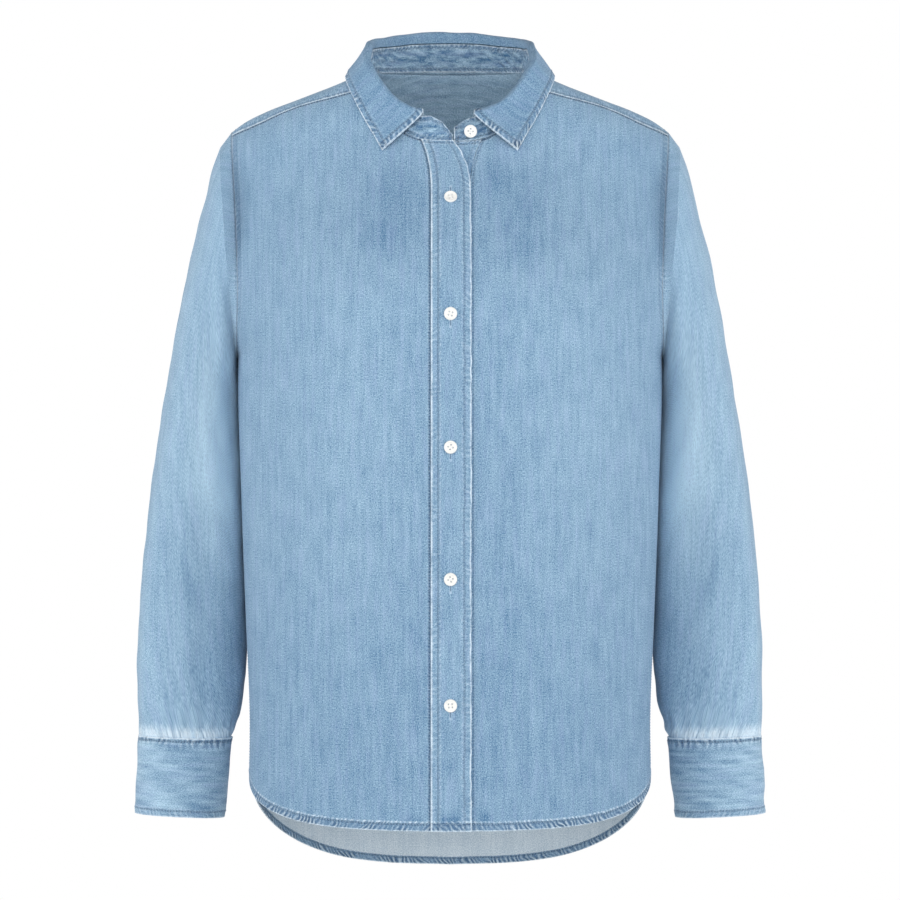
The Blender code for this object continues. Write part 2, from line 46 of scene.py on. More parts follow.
def table(rows, key, name, at):
    # a column's value on a smooth curve through the rows
    keys, values = np.array(rows[key], float), np.array(rows[name], float)
    if keys[0] > keys[-1]:
        keys, values = keys[::-1], values[::-1]
    at = np.clip(at, keys[0], keys[-1])
    slopes = np.gradient(values, keys)
    i = np.clip(np.searchsorted(keys, at, side="right") - 1, 0, len(keys) - 2)
    span = keys[i + 1] - keys[i]
    t = (at - keys[i]) / span
    rise = values[i + 1] - values[i]
    a = slopes[i] * span - rise
    b = rise - slopes[i + 1] * span
    return values[i] + t * rise + t * (1 - t) * (a * (1 - t) + b * t)


def smooth(t):
    t = np.clip(t, 0.0, 1.0)
    return t * t * (3 - 2 * t)


def linear(hexCode):
    # an sRGB hex colour as the linear values that Blender's sockets take
    parts = [int(hexCode[i:i + 2], 16) / 255 for i in (1, 3, 5)]
    return tuple(c / 12.92 if c < 0.04045 else ((c + 0.055) / 1.055) ** 2.4 for c in parts) + (1.0,)


def unevenness(a, b, size, seed, waves=9, paces=(0.6, 1.5)):
    # soft noise between about -1 and 1 that changes over the given size in mm
    draw = np.random.default_rng(seed)
    total = np.zeros(np.broadcast(a, b).shape)
    for _ in range(waves):
        turn, phase = draw.uniform(0, 2 * math.pi, 2)
        pace = draw.uniform(*paces) * 2 * math.pi / size
        total += np.sin((a * math.cos(turn) + b * math.sin(turn)) * pace + phase)
    return total / 3.2  # about the most that the waves add up to


def folds(rows, a, b, bow=0.05, past=0.12, fadeOver=0.34):
    # soft troughs (negative) and ridges: each row runs from one place to another, bows and fades at its ends
    total = np.zeros(np.broadcast(a, b).shape)
    for fromA, fromB, toA, toB, width, high in rows:
        run = np.array((toA - fromA, toB - fromB))
        long = np.hypot(*run)
        share = ((a - fromA) * run[0] + (b - fromB) * run[1]) / long / long
        off = ((a - fromA) * -run[1] + (b - fromB) * run[0]) / long
        bend = bow * long * np.sin(math.pi * np.clip(share, 0, 1))
        ends = smooth((share + past) / fadeOver) * smooth((1 + past - share) / fadeOver)
        total += high * ends * np.exp(-((off - bend) / width) ** 2)
    return total


# the shirt's own shape: every piece of cloth is laid off this filled-out form

torso = {
    "ridge": {  # height of the shoulder line against distance from the middle, mm
        "x": (0, 35, 70, 110, 140, 166, 186, 196, 206),
        "z": (18, 16.8, 12.6, -2.7, -14.2, -24.3, -34.6, -42, -50),
    },
    "body": {  # half width, and how far the front and the back stand off the side line
        "z": (0, -46, -124, -194, -245, -373, -480, -571, -640, -720),
        "half": (197, 196, 191.2, 188.6, 190.5, 187.5, 183.5, 180, 181, 181),
        "front": (122, 122, 124, 126, 127, 126, 124, 122, 121, 120),
        "back": (112, 112, 114, 115, 115, 112, 110, 110, 110, 109),
    },
    "neckline": {"x": (0, 14, 28, 42, 54, 63, 70), "z": (-54.3, -54, -52.3, -45.8, -35, -21.5, -5.5)},
    "yokeFront": {"x": (70, 94, 135, 185, 196), "drop": (18.1, 14, 8, 7.5, 4)},
    "hem": {  # height of the lower edge against degrees from the middle to the side seam
        "angle": (0, 20, 35, 48, 61, 74, 90),
        "front": (-661, -660, -658, -654, -647, -637, -620),
        "back": (-713.5, -710.5, -703.5, -691.5, -674.5, -653, -620),
    },
    "middleY": 4,  # the side seams' plane
    "roundness": 2.4,  # of the level sections, where 2 is an ellipse
    "shoulderRound": 40, "fullDepthAt": 225,  # the form rounds over the shoulders and is full this far down
    "neckX": 68, "neckBackHalf": 67.5, "neckBack": 52,
    "yokeFrom": 70, "shoulderX": 196, "yokeBackZ": -85,  # the yoke's front seam runs between the first two
    "armholeTop": -42, "armholeBottom": -245, "armholeWidest": -165, "armholeDepth": 0.55,
    "armholeHalfDeep": 62,
    "openFrom": -112, "openUpTo": -53, "openOver": 62,  # heights between which the fronts part
    "seam": 0.3,
    "rowSpacing": 1.12,  # above 1 the grids' rows lie closer near the shoulders
    "grainHalf": 205,  # half width of the round form that the grain is measured on
    "foldSoft": 20,  # folds grow shallower where the form is thinner than this
    # soft folds of the filled-out body: x and z where each starts and ends, width, height
    "frontFolds": (
        (-150, -150, -95, -300, 22, -2.0), (-112, -120, -70, -250, 20, 1.6),
        (152, -160, 100, -310, 24, -2.2), (108, -130, 74, -260, 18, 1.5),
        (-60, -330, -118, -600, 26, 2.4), (-95, -380, -150, -610, 22, -2.2),
        (70, -300, 122, -590, 26, 2.2), (110, -370, 152, -600, 20, -2.0),
        (-30, -420, -46, -640, 20, -1.6), (48, -440, 60, -640, 20, -1.6),
        (-168, -260, -140, -380, 14, -2.2), (170, -262, 144, -390, 14, -2.2),
        (30, -100, 66, -190, 13, -1.4), (-34, -104, -60, -180, 13, -1.2),
    ),
    "backFolds": (
        (-60, -120, -70, -620, 30, 2.4), (58, -120, 74, -640, 30, 2.2), (0, -160, 4, -600, 26, -2.4),
        (-130, -150, -110, -420, 22, -2.0), (132, -160, 112, -430, 22, -2.2),
        (-168, -260, -120, -360, 14, -2.2), (168, -255, 122, -350, 14, -2.0),
    ),
}


def ridgeZ(x):
    return table(torso["ridge"], "x", "z", np.abs(x))


def sideX(z):
    return table(torso["body"], "z", "half", z)


def fullWidth(z):
    # half width of the whole rounded section, which the armhole cuts short
    t = (torso["armholeWidest"] - z) / (torso["armholeWidest"] - torso["armholeBottom"])
    share = torso["armholeDepth"] * np.sqrt(1 - np.clip(t, 0, 1) ** 2)
    return sideX(z) / (1 - share ** torso["roundness"]) ** (1 / torso["roundness"])


def depthSquared(x, z, face):
    # square of the cloth's distance from the side line's plane, face -1 in front and 1 behind
    drop = ridgeZ(x) - z
    bend = torso["shoulderRound"]
    full = np.where(face < 0, table(torso["body"], "z", "front", z), table(torso["body"], "z", "back", z))
    arc = np.where(drop > bend, bend ** 2, drop * (2 * bend - drop))
    depth = np.sign(arc) * np.sqrt(np.abs(arc)) + (full - bend) * smooth(drop / torso["fullDepthAt"])
    square = depth * np.abs(depth)
    share = np.clip(1 - (x / torso["neckBackHalf"]) ** 2, 0, 1)
    neck = torso["neckBack"] * np.sqrt(share)
    raised = (neck ** 3 + np.maximum(square, 0) ** 1.5) ** (2 / 3)
    square = np.where((face > 0) & (share > 0), raised, square)
    fold = np.where(face < 0, folds(torso["frontFolds"], x, z), folds(torso["backFolds"], x, z))
    square = square * (1 + fold / (np.sqrt(np.abs(square)) + torso["foldSoft"])) ** 2
    away = 1 - (np.abs(x) / fullWidth(z)) ** torso["roundness"]
    return square * np.sign(away) * np.abs(away) ** (2 / torso["roundness"])


def onTorso(x, z, face):
    x, z, face = np.broadcast_arrays(np.asarray(x, float), z, face)
    y = torso["middleY"] + face * np.sqrt(np.maximum(depthSquared(x, z, face), 0))
    return np.stack((x, y, z), axis=-1)


def outOfTorso(points, face):
    # unit directions out of the cloth, from the slope of the form
    step = 0.2

    def level(move):
        x, y, z = (points[..., k] + step * move[k] for k in range(3))
        return (y - torso["middleY"]) ** 2 - depthSquared(x, z, face)

    slope = np.stack([level(axis) - level(-axis) for axis in np.eye(3)], axis=-1)
    return slope / np.maximum(np.linalg.norm(slope, axis=-1, keepdims=True), 1e-9)


def armholeSpan():
    # middle and half height of the armhole
    top, bottom = torso["armholeTop"], torso["armholeBottom"]
    return (top + bottom) / 2, (top - bottom) / 2


def intoArmhole(points):
    # along the armhole seam the cloth's thickness lies in the armhole's own plane
    middle, tall = armholeSpan()
    away = np.stack((points[..., 0] * 0, (points[..., 1] - torso["middleY"]) / torso["armholeHalfDeep"] ** 2,
                     (points[..., 2] - middle) / tall ** 2), axis=-1)
    return -away / np.linalg.norm(away, axis=-1, keepdims=True)


def opening(z, most):
    # sideways parting of the unbuttoned fronts near the neck
    rise = np.minimum(z, torso["openUpTo"]) - torso["openFrom"]
    return most * (np.maximum(rise, 0) / torso["openOver"]) ** 3


def frontTop(x):
    # the fronts' upper edge: the neckline, then the yoke's front seam
    x = np.abs(x)
    yokeSeam = ridgeZ(x) - table(torso["yokeFront"], "x", "drop", x)
    return np.where(x <= torso["yokeFrom"], table(torso["neckline"], "x", "z", x), yokeSeam)


# cloth shells: an outer and an inner grid joined by rims, all one closed mesh

def lengthsAlong(points, axis):
    steps = np.linalg.norm(np.diff(points, axis=axis), axis=-1)
    start = np.zeros_like(np.take(steps, [0], axis=axis))
    return np.concatenate((start, np.cumsum(steps, axis=axis)), axis=axis)


def makeMesh(name, verts, faces, material, sharpAt=40):
    mesh = bpy.data.meshes.new(name)
    mesh.from_pydata(np.asarray(verts, float) * mm, [], faces)
    mesh.shade_smooth()
    mesh.set_sharp_from_angle(angle=math.radians(sharpAt))
    mesh.materials.append(material)
    piece = bpy.data.objects.new(name, mesh)
    bpy.context.collection.objects.link(piece)
    return piece


def closedWall(outer, inner, ring):
    # vertex grid numbers, faces and, for each face corner, its column, row and layer
    columns, rows = outer.shape[:2]
    spans = columns if ring else columns - 1
    i, j = (a.ravel() for a in np.meshgrid(np.arange(spans), np.arange(rows - 1), indexing="ij"))
    zero, one = np.zeros_like(i), np.ones_like(i)

    def quad(*corners):
        return np.stack([np.stack(np.broadcast_arrays(*c), axis=-1) for c in corners], axis=1)

    parts = [quad((i, j, zero), (i + 1, j, zero), (i + 1, j + 1, zero), (i, j + 1, zero)),
             quad((i, j + 1, one), (i + 1, j + 1, one), (i + 1, j, one), (i, j, one))]
    c = np.arange(spans)
    parts.append(quad((c + 1, 0, 0), (c, 0, 0), (c, 0, 1), (c + 1, 0, 1)))
    last = rows - 1
    parts.append(quad((c, last, 0), (c + 1, last, 0), (c + 1, last, 1), (c, last, 1)))
    if not ring:
        r = np.arange(rows - 1)
        last = columns - 1
        parts.append(quad((0, r, 0), (0, r + 1, 0), (0, r + 1, 1), (0, r, 1)))
        parts.append(quad((last, r + 1, 0), (last, r, 0), (last, r, 1), (last, r + 1, 1)))
    corners = np.concatenate(parts)
    numbers = corners[..., 2] * columns * rows + (corners[..., 0] % columns) * rows + corners[..., 1]
    return np.concatenate((outer.reshape(-1, 3), inner.reshape(-1, 3))), numbers, corners


def volumeSign(verts, faces):
    a, b, c, d = (verts[faces[:, k]] for k in range(4))
    return np.sign((np.cross(a, b) * c).sum() + (np.cross(a, c) * d).sum())


def grainOf(points):
    # millimetres across and along the grain of cloth that hangs: round the body, and down
    half = torso["grainHalf"]
    return half * np.arcsin(np.clip(points[..., 0] / half, -1, 1)), -points[..., 2]


def everySecond(count, ring=False):
    lines = list(range(0, count, 2))
    return lines if ring or lines[-1] == count - 1 else lines + [count - 1]


def makeCloth(name, outer, inward, cut, wearAndPaintedLight=None, grain=None, ring=False):
    # weave carries millimetres across and along the grain; edges the distance to each of the four edges
    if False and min(outer.shape[:2]) > 12:
        lines = np.ix_(everySecond(outer.shape[0], ring), everySecond(outer.shape[1]))
        outer, inward = outer[lines], inward[lines]
        wearAndPaintedLight = None if wearAndPaintedLight is None else wearAndPaintedLight[lines]
        grain = None if grain is None else [g[lines] for g in grain]
    verts, faces, corners = closedWall(outer, outer + cut["wall"] * inward, ring)
    if volumeSign(verts, faces) < 0:
        faces, corners = faces[:, ::-1], corners[:, ::-1]
    wearAndPaintedLight = np.zeros(outer.shape[:2]) if wearAndPaintedLight is None else wearAndPaintedLight
    if ring:
        outer, wearAndPaintedLight = (np.concatenate((a, a[:1])) for a in (outer, wearAndPaintedLight))
    across, down = lengthsAlong(outer, 0), lengthsAlong(outer, 1)
    yarn = (across, down) if grain is None else grain
    toLast, toBottom = across[-1:] - across, down[:, -1:] - down
    at, layer = (corners[..., 0], corners[..., 1]), corners[..., 2]
    shown = np.repeat(layer.min(axis=1, keepdims=True), 4, axis=1)  # rims show the outer side
    piece = makeMesh("cloth_" + name, verts, faces.tolist(), makeDenim(name, cut))
    for key, values in (("weave", (yarn[0][at], yarn[1][at], shown)),
                        ("edges", (across[at], toLast[at], down[at])),
                        ("alongSeams", (across[at], down[at], layer)),
                        ("wearingAndPaintedLight", (toBottom[at], wearAndPaintedLight[at], layer))):
        carried = piece.data.attributes.new(key, "FLOAT_VECTOR", "CORNER")
        carried.data.foreach_set("vector", np.stack(values, axis=-1).astype(np.float32).ravel())
    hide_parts(name)
    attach(piece, "root")
    return piece


sewing = []  # every visible stitch, joined into one mesh at the end
stitch = {
    "pitch": 2.6, "long": 1.75, "radius": 0.27, "sides": 5,
    "places": (-0.5, -0.25, 0.25, 0.5),  # shares of its length where the thread bends
    "proud": 0.2, "dips": (-1.2, 0.6, 0.6, -1.2),  # how far it stands out there, in shares of proud
}


def ringFaces(rings, sides):
    # quads between rings of points
    faces = []
    for start in range(0, (rings - 1) * sides, sides):
        for i in range(sides):
            after = start + (i + 1) % sides
            faces.append((start + i, after, after + sides, start + sides + i))
    return faces


def tubeAlong(line, radius, sides=6, dome=0.6):
    # a closed tube with domed ends along a short line of points
    line = np.asarray(line, float)
    run = np.gradient(line, axis=0)
    run /= np.maximum(np.linalg.norm(run, axis=1, keepdims=True), 1e-9)
    aside = np.cross(run, (0.31, 0.87, 0.38))  # any direction that no thread runs in
    aside /= np.maximum(np.linalg.norm(aside, axis=1, keepdims=True), 1e-9)
    over = np.cross(run, aside)
    turns = np.arange(sides) * 2 * math.pi / sides
    ring = np.cos(turns)[None, :, None] * aside[:, None] + np.sin(turns)[None, :, None] * over[:, None]
    verts = (line[:, None] + radius * ring).reshape(-1, 3)
    verts = np.concatenate((verts, [line[0] - dome * radius * run[0], line[-1] + dome * radius * run[-1]]))
    last, foot, tip = (len(line) - 1) * sides, len(line) * sides, len(line) * sides + 1
    faces = ringFaces(len(line), sides)
    faces += [(foot, (i + 1) % sides, i) for i in range(sides)]
    faces += [(tip, last + i, last + (i + 1) % sides) for i in range(sides)]
    return verts, faces


def lineInside(points, inward, edge, away):
    # the line on the cloth that runs a set distance inside one of its edges, and the way into the cloth
    both = np.concatenate((points, inward), axis=-1)
    both = both.swapaxes(0, 1) if edge in ("first", "last") else both
    both = both[:, ::-1] if edge in ("last", "bottom") else both
    down = lengthsAlong(both[..., :3], 1)
    return np.array([[np.interp(away, d, row[:, k]) for k in range(6)] for d, row in zip(down, both)])


def sew(points, inward, seam, start=0.0, stop=0.0):
    # a row of short capsules of thread that dip into the cloth at both ends
    line = lineInside(points, inward, seam["edge"], seam["stitch"])
    run = lengthsAlong(line[:, :3], 0)
    proud = stitch["proud"] * np.array(stitch["dips"])[:, None]
    for place in np.arange(start + stitch["pitch"], run[-1] - stop - stitch["pitch"], stitch["pitch"]):
        spots = place + stitch["long"] * np.array(stitch["places"])
        row = np.stack([np.interp(spots, run, line[:, k]) for k in range(6)], axis=-1)
        into = row[:, 3:] / np.linalg.norm(row[:, 3:], axis=1, keepdims=True)
        sewing.append(tubeAlong(row[:, :3] - proud * into, stitch["radius"], stitch["sides"]))


def bothEnds(seam):
    # the same seam along a piece's first and last edge
    return [{"edge": "first", **seam}, {"edge": "last", **seam}]


# materials: procedural nodes on the cloth's own millimetres

nodeSettings = {"MapRange": {"interpolation_type": "SMOOTHSTEP"}, "Mix": {"data_type": "RGBA"}}


def setInputs(tree, node, inputs):
    # a plain value is set, and another node's output is linked
    for key, value in inputs.items():
        if isinstance(value, bpy.types.NodeSocket):
            tree.links.new(value, node.inputs[key])
        else:
            node.inputs[key].default_value = value


def addNode(tree, kind, *inputs, output=0, **settings):
    # kind is the node's name, with a Math node's operation after a space; inputs are in the sockets'
    # order, or in one dictionary by socket name or number
    kind, _, operation = kind.partition(" ")
    node = tree.nodes.new("ShaderNode" + kind)
    settings = {**nodeSettings.get(kind, {}), **settings, **({"operation": operation} if operation else {})}
    for key, value in settings.items():
        setattr(node, key, value)
    setInputs(tree, node, inputs[0] if inputs and isinstance(inputs[0], dict) else dict(enumerate(inputs)))
    return node.outputs[output]


def newMaterial(name):
    # a material, the function that adds a node to it, and the one that sets its surface's sockets
    material = bpy.data.materials.new(name)
    material.use_nodes = True
    tree = material.node_tree
    return material, partial(addNode, tree), partial(setInputs, tree, tree.nodes["Principled BSDF"])


def pattern(add, place, size, detail=2.0, rough=0.55):
    # uneven spots of a real size: millimetres across and down the cloth
    stretched = add("VectorMath MULTIPLY", place, (1 / size[0], 1 / size[1], 3.0))
    return add("TexNoise", {"Vector": stretched, "Scale": 1.0, "Detail": detail, "Roughness": rough})


denim = {
    "deep": "#4C6C8E",  # indigo kept in stitch valleys and pucker troughs, darkened further there as painted shade
    "dark": "#668AAA",  # unfaded warp
    "light": "#A2C1D7",  # faded warp with the white weft showing
    "worn": "#D6E7F4",  # rubbed edges, and pucker tops paled by wear and painted light
    "reverse": ("#AEC3D3", "#DEE9F1"),  # weft side: paler and greyer
    "tint": "#A4B3DC", "tinted": (5.0, 40.0), "tintShare": 0.15,  # streaks where the dye is nearer lilac
    "streak": (1.6, 26.0), "longStreak": (4.5, 90.0),  # uneven warp yarns, mm wide and long
    "grain": (0.85, 1.275),  # nearly two threads; drawn coarser than the 0.5 mm weave so that it shows
    "mottle": (16.0, 24.0), "crumple": (4.5, 13.0),
    "shares": (0.8, 0.5, 0.62, 3.25),  # of streak, long streak, mottle and grain in the colour
    "twill": 1.5,  # pitch of the diagonal; drawn coarser than the real 0.9 mm for the same reason
    "twillShare": 0.08, "twillDrift": 1.6, "driftOver": (3.0, 3.0),  # and how far its lines wander
    "leastFaded": -0.35, "mostFaded": 1.6,
    "roughness": 0.86, "sheen": 0.12, "sheenRough": 0.5,  # brushed by washing, so it has no shine
    "weaveHigh": 0.00016, "puckerHigh": 0.0009,  # bump heights in metres
}
hemTurned = 7.0  # the hem's turning shows the right side on the inside, up to this height


seamUsual = {  # what a seam looks like where its piece doesn't say otherwise, mm
    "rope": 0.4, "pitch": 4.5, "slant": 0.6,  # puckers across it: strength, spacing and lean
    "even": 0.2, "lit": 0.6,  # their least strength along it, and how pale their tops are painted: wear and painted light
    "worn": 0.7, "wornOver": 1.6,  # rubbed edge: strength and width
    "valley": 0.55, "shade": 0.15,  # darkening along the groove of the stitches and in the band inside it: kept indigo and painted shade
    "halo": 0.18,  # pale line just beyond the stitches
}
hemSeam = {"edge": "bottom", "stitch": 6.0, "rope": 1.1, "pitch": 4.4, "slant": 0.65, "worn": 0.9,
           "wornOver": 1.2, "valley": 0.9, "halo": 0.9, "shade": 0.42}
sideSeam = {"edge": "last", "stitch": 5.0, "rope": 0.3, "pitch": 5.0, "worn": 0.35, "valley": 0.2}


def seamShading(add, seam, parts):
    # light, dark and height that a sewn or folded edge adds: wear, with painted light and shade on its
    # puckers and grooves; seam says which edge and how it is sewn
    seam = {"reach": seam["stitch"] + 2.5, **seamUsual, **seam}
    place, line = parts["place"], seam["stitch"]
    along = parts["down" if seam["edge"] in ("first", "last") else "across"]
    wobble = add("Math MULTIPLY_ADD", pattern(add, place, (9.0, 9.0), 1.0), 0.9, -0.45)
    away = add("Math ADD", parts[seam["edge"]], wobble)
    slant = add("Math MULTIPLY_ADD", away, seam["slant"], along)
    slant = add("Math MULTIPLY_ADD", pattern(add, place, (14.0, 14.0), 1.0), 12.0, slant)
    wave = add("Math SINE", add("Math MULTIPLY", slant, 2 * math.pi / seam["pitch"]))
    near = add("MapRange", away, seam["reach"], line * 0.4)
    patchy = add("MapRange", pattern(add, place, (17.0, 17.0)), 0.38, 0.66, seam["even"], 1.0)
    strength = add("Math MULTIPLY", patchy, seam["rope"])
    pucker = add("Math MULTIPLY", add("Math MULTIPLY", wave, near), strength)
    # pucker troughs darkened: kept indigo and painted shade
    hollow = add("Math MAXIMUM", add("Math MULTIPLY", pucker, -1.0), 0.0)

    fits = add("MapRange", pattern(add, place, (11.0, 11.0), 3.0), 0.3, 0.65, 0.35, 1.0)
    edge = add("Math MULTIPLY", add("MapRange", away, seam["wornOver"], 0.2), seam["worn"])
    edge = add("Math MULTIPLY", edge, fits)
    beyond = add("Math ABSOLUTE", add("Math SUBTRACT", away, line + 1.8))
    halo = add("Math MULTIPLY", add("MapRange", beyond, 1.5, 0.2), seam["halo"])
    flecked = add("Math MULTIPLY_ADD", add("Math MAXIMUM", wave, 0.0), 0.8, 0.2)
    # pucker tops and rubbed edges paled: wear, with painted light on the tops
    light = add("Math MULTIPLY_ADD", add("Math MAXIMUM", pucker, 0.0), seam["lit"], edge)
    light = add("Math MULTIPLY_ADD", add("Math MULTIPLY", halo, flecked), fits, light)

    # the stitches' groove and the band inside them darkened: kept indigo and painted shade
    off = add("Math ABSOLUTE", add("Math SUBTRACT", away, line))
    dots = add("Math SINE", add("Math MULTIPLY", along, 2 * math.pi / stitch["pitch"]))
    valley = add("Math MULTIPLY", add("MapRange", off, 1.1, 0.25), seam["valley"])
    valley = add("Math MULTIPLY", valley, add("Math MULTIPLY_ADD", dots, 0.45, 0.75))
    inside = add("MapRange", away, line + 0.6, line - 0.6)
    dark = add("Math MULTIPLY_ADD", inside, seam["shade"], add("Math ADD", valley, hollow))
    return light, dark, add("Math SUBTRACT", add("Math MULTIPLY", pucker, 0.6), valley)


def makeDenim(name, cut):
    # washed denim: vertical slub streaks, faint twill, soft mottling and edges rubbed pale, with the painted
    # light and shade that each piece and its seams carry
    material, add, setSurface = newMaterial("washedDenim_" + name)
    weave, edges, wearingAndPaintedLight, running = (add("Attribute", output="Vector", attribute_name=key)
                                      for key in ("weave", "edges", "wearingAndPaintedLight", "alongSeams"))
    (u, v, layer), (first, last, top), (bottom, worn, _), (across, down, _) = (
        add("SeparateXYZ", vector, output=slice(0, 3)) for vector in (weave, edges, wearingAndPaintedLight, running))
    parts = {"place": weave, "across": across, "down": down,
             "first": first, "last": last, "top": top, "bottom": bottom}
    rumpled = cut.get("rumpled", 0.0)

    streak = pattern(add, weave, denim["streak"], 3.0, 0.6)
    grain = pattern(add, weave, denim["grain"])
    crumple = pattern(add, weave, denim["crumple"], 3.0)
    longStreak = pattern(add, weave, denim["longStreak"])
    mottle = pattern(add, weave, denim["mottle"], 4.0, 0.62)
    drift = pattern(add, weave, denim["driftOver"], 1.0)
    diagonal = add("Math MULTIPLY_ADD", drift, denim["twillDrift"], add("Math ADD", u, v))
    twill = add("Math SINE", add("Math MULTIPLY", diagonal, 2 * math.pi / denim["twill"]))
    # worn holds each piece's wear together with its painted light and shade
    fadedAndPaintedLight = add("Math ADD", worn, 0.5 + cut["tone"])
    # the crumples also darken and lighten the colour by rumpled: painted shade and light of the wrinkles
    for value, share in zip((streak, longStreak, mottle, grain, crumple), (*denim["shares"], rumpled)):
        fadedAndPaintedLight = add("Math MULTIPLY_ADD", add("Math SUBTRACT", value, 0.5), share, fadedAndPaintedLight)
    fadedAndPaintedLight = add("Math MULTIPLY_ADD", twill, denim["twillShare"], fadedAndPaintedLight)
    fadedAndPaintedLight = add("Math MINIMUM", add("Math MAXIMUM", fadedAndPaintedLight, denim["leastFaded"]), denim["mostFaded"])
    lilac = add("MapRange", pattern(add, weave, denim["tinted"], 3.0), 0.45, 0.68, 0.0, denim["tintShare"])

    light, dark, bumps = 0.0, 0.0, 0.0
    for seam in cut["seams"]:
        more = seamShading(add, seam, parts)
        light, dark, bumps = (add("Math ADD", a, b) for a, b in zip((light, dark, bumps), more))
    if rumpled:
        bumps = add("Math MULTIPLY_ADD", crumple, rumpled, bumps)
    speckle = add("MapRange", add("Math ADD", grain, add("Math MULTIPLY", streak, 0.5)), 0.45, 1.0)
    light = add("Math MULTIPLY", light, add("Math MULTIPLY_ADD", speckle, 0.8, 0.55), use_clamp=True)
    dark = add("Math MULTIPLY", dark, add("Math MULTIPLY_ADD", speckle, -0.5, 1.15), use_clamp=True)

    colour = add("Mix", {0: fadedAndPaintedLight, 6: linear(denim["dark"]), 7: linear(denim["light"])}, output=2,
                 clamp_factor=False)
    for amount, shade in ((lilac, denim["tint"]), (dark, denim["deep"]), (light, denim["worn"])):
        colour = add("Mix", {0: amount, 6: colour, 7: linear(shade)}, output=2)
    if cut.get("reverse"):
        greyer, paler = (linear(shade) for shade in denim["reverse"])
        back = add("Mix", {0: fadedAndPaintedLight, 6: greyer, 7: paler}, output=2)
        aboveHem = add("MapRange", bottom, hemTurned + 0.5, hemTurned - 0.3, 1.0, 0.0)
        colour = add("Mix", {0: add("Math MULTIPLY", layer, aboveHem), 6: colour, 7: back}, output=2)
    height = add("Math MULTIPLY_ADD", twill, 0.5, add("Math MULTIPLY", grain, 1.2))
    relief = add("Bump", {"Height": height, "Distance": denim["weaveHigh"], "Strength": 1.0})
    relief = add("Bump", {"Height": bumps, "Distance": denim["puckerHigh"], "Strength": 1.0,
                          "Normal": relief})
    setSurface({"Base Color": colour, "Normal": relief, "Roughness": denim["roughness"], "Metallic": 0.0,
                "IOR": 1.5, "Specular IOR Level": 0.25, "Sheen Weight": denim["sheen"],
                "Sheen Roughness": denim["sheenRough"]})
    return material


# fronts and back

frontPanel = {
    "columns": 86, "rows": 200, "wall": 1.2, "flat": (0.285, 0.665), "tone": -0.07, "reverse": True,
    "innerSeam": {-1: 16.6, 1: 17.5},  # sewn to the placket on the right, to its underlap on the left
    "parting": {-1: -10.5, 1: 12.0}, "partingOver": 1.02,  # how far the unbuttoned neck swings each seam
    "dip": 1.8, "dipFrom": 3, "dipOver": 16,  # the left front passes under the placket
    "darker": 0.12, "darkerFrom": -300, "darkerOver": 300,  # darker towards the hem
    # darker patches of painted shade below the collar and beside the placket, and two paler strips towards
    # the sides: x and z at both ends, width, amount
    "patches": (
        (-44, -72, -62, -165, 30, -0.26), (42, -76, 64, -168, 28, -0.26), (-100, -150, -104, -520, 34, 0.08),
        (104, -160, 100, -500, 34, 0.07), (-28, -220, -30, -600, 16, -0.08), (30, -230, 32, -600, 16, -0.08),
        (24, -650, 36, -648, 4.5, -0.35), (-24, -651, -38, -650, 4, -0.22), (34, -66, 42, -100, 12, -0.1),
    ),
    "seams": [hemSeam, sideSeam,
              {"edge": "top", "stitch": 1.0, "rope": 0.3, "worn": 0.0, "valley": 1.1, "halo": 0.1}],
    "placketShadow": {-1: (0.9, 0.95), 1: (2.2, 0.5)},  # painted shadow of the button strips' raised edges, a dark line: place and strength
}
backPanel = {
    "columns": 86, "rows": 200, "wall": 1.2, "flat": (0.56, 0.635), "tone": 0.0, "reverse": True,
    "seams": [hemSeam, sideSeam, {**sideSeam, "edge": "first"},
              {"edge": "top", "stitch": 1.2, "rope": 0.4, "worn": 0.5, "valley": 0.5}],
}
hemPucker = {"high": 0.5, "size": 16, "reach": 14, "start": 1.5}  # cloth drawn up along the hem


def panelPoints(sign, face, size, innerX, edgeGap):
    share = np.linspace(0, 1, size["columns"])[:, None]

    def place(z):
        full = fullWidth(z)
        first = np.arcsin(np.clip(innerX(z) / full, -1, 1))
        angle = first + (np.arcsin(np.minimum(sideX(z) / full, 1)) - first) * share
        return full * np.sin(angle), np.degrees(np.abs(angle))

    # a column's x depends on its height, so both ends are found by going round a few times
    top, low = (np.full((size["columns"], 1), guess) for guess in (-60.0, -620.0))
    for _ in range(12):
        x, _ = place(top)
        top = (frontTop(x) if face < 0 else 0 * x + torso["yokeBackZ"]) - torso["seam"] / 2
    for _ in range(8):
        low = table(torso["hem"], "angle", "front" if face < 0 else "back", place(low)[1])
    z = top + (low - top) * np.linspace(0, 1, size["rows"])[None, :] ** torso["rowSpacing"]
    points = onTorso(sign * place(z)[0], z, face)
    points[-1, :, 1] += face * edgeGap
    return points


def panelInward(points, face, ends):
    inward = -outOfTorso(points, face)
    for i in ends:
        upper = (points[i, :, 2] > torso["armholeBottom"] - 2)[:, None]
        straight = np.zeros((points.shape[1], 3))
        straight[:, 0] = -np.sign(points[i, :, 0])
        inward[i] = np.where(upper, intoArmhole(points[i]), straight)
    return inward


def belowArmhole(points):
    # how far down a panel's side edge the armhole ends and the side seam starts
    return lengthsAlong(points, 1)[-1][points[-1, :, 2] > torso["armholeBottom"]].max()


def puckeredHem(points, inward, seed):
    # small puckers where the cloth is drawn up along the hem
    down = lengthsAlong(points, 1)
    away = down[:, -1:] - down
    bumps = unevenness(points[..., 0] + points[..., 1], points[..., 2], hemPucker["size"], seed)
    near = smooth(1 - away / hemPucker["reach"]) * smooth(away / hemPucker["start"])
    return points - inward * (hemPucker["high"] * bumps * near)[..., None]


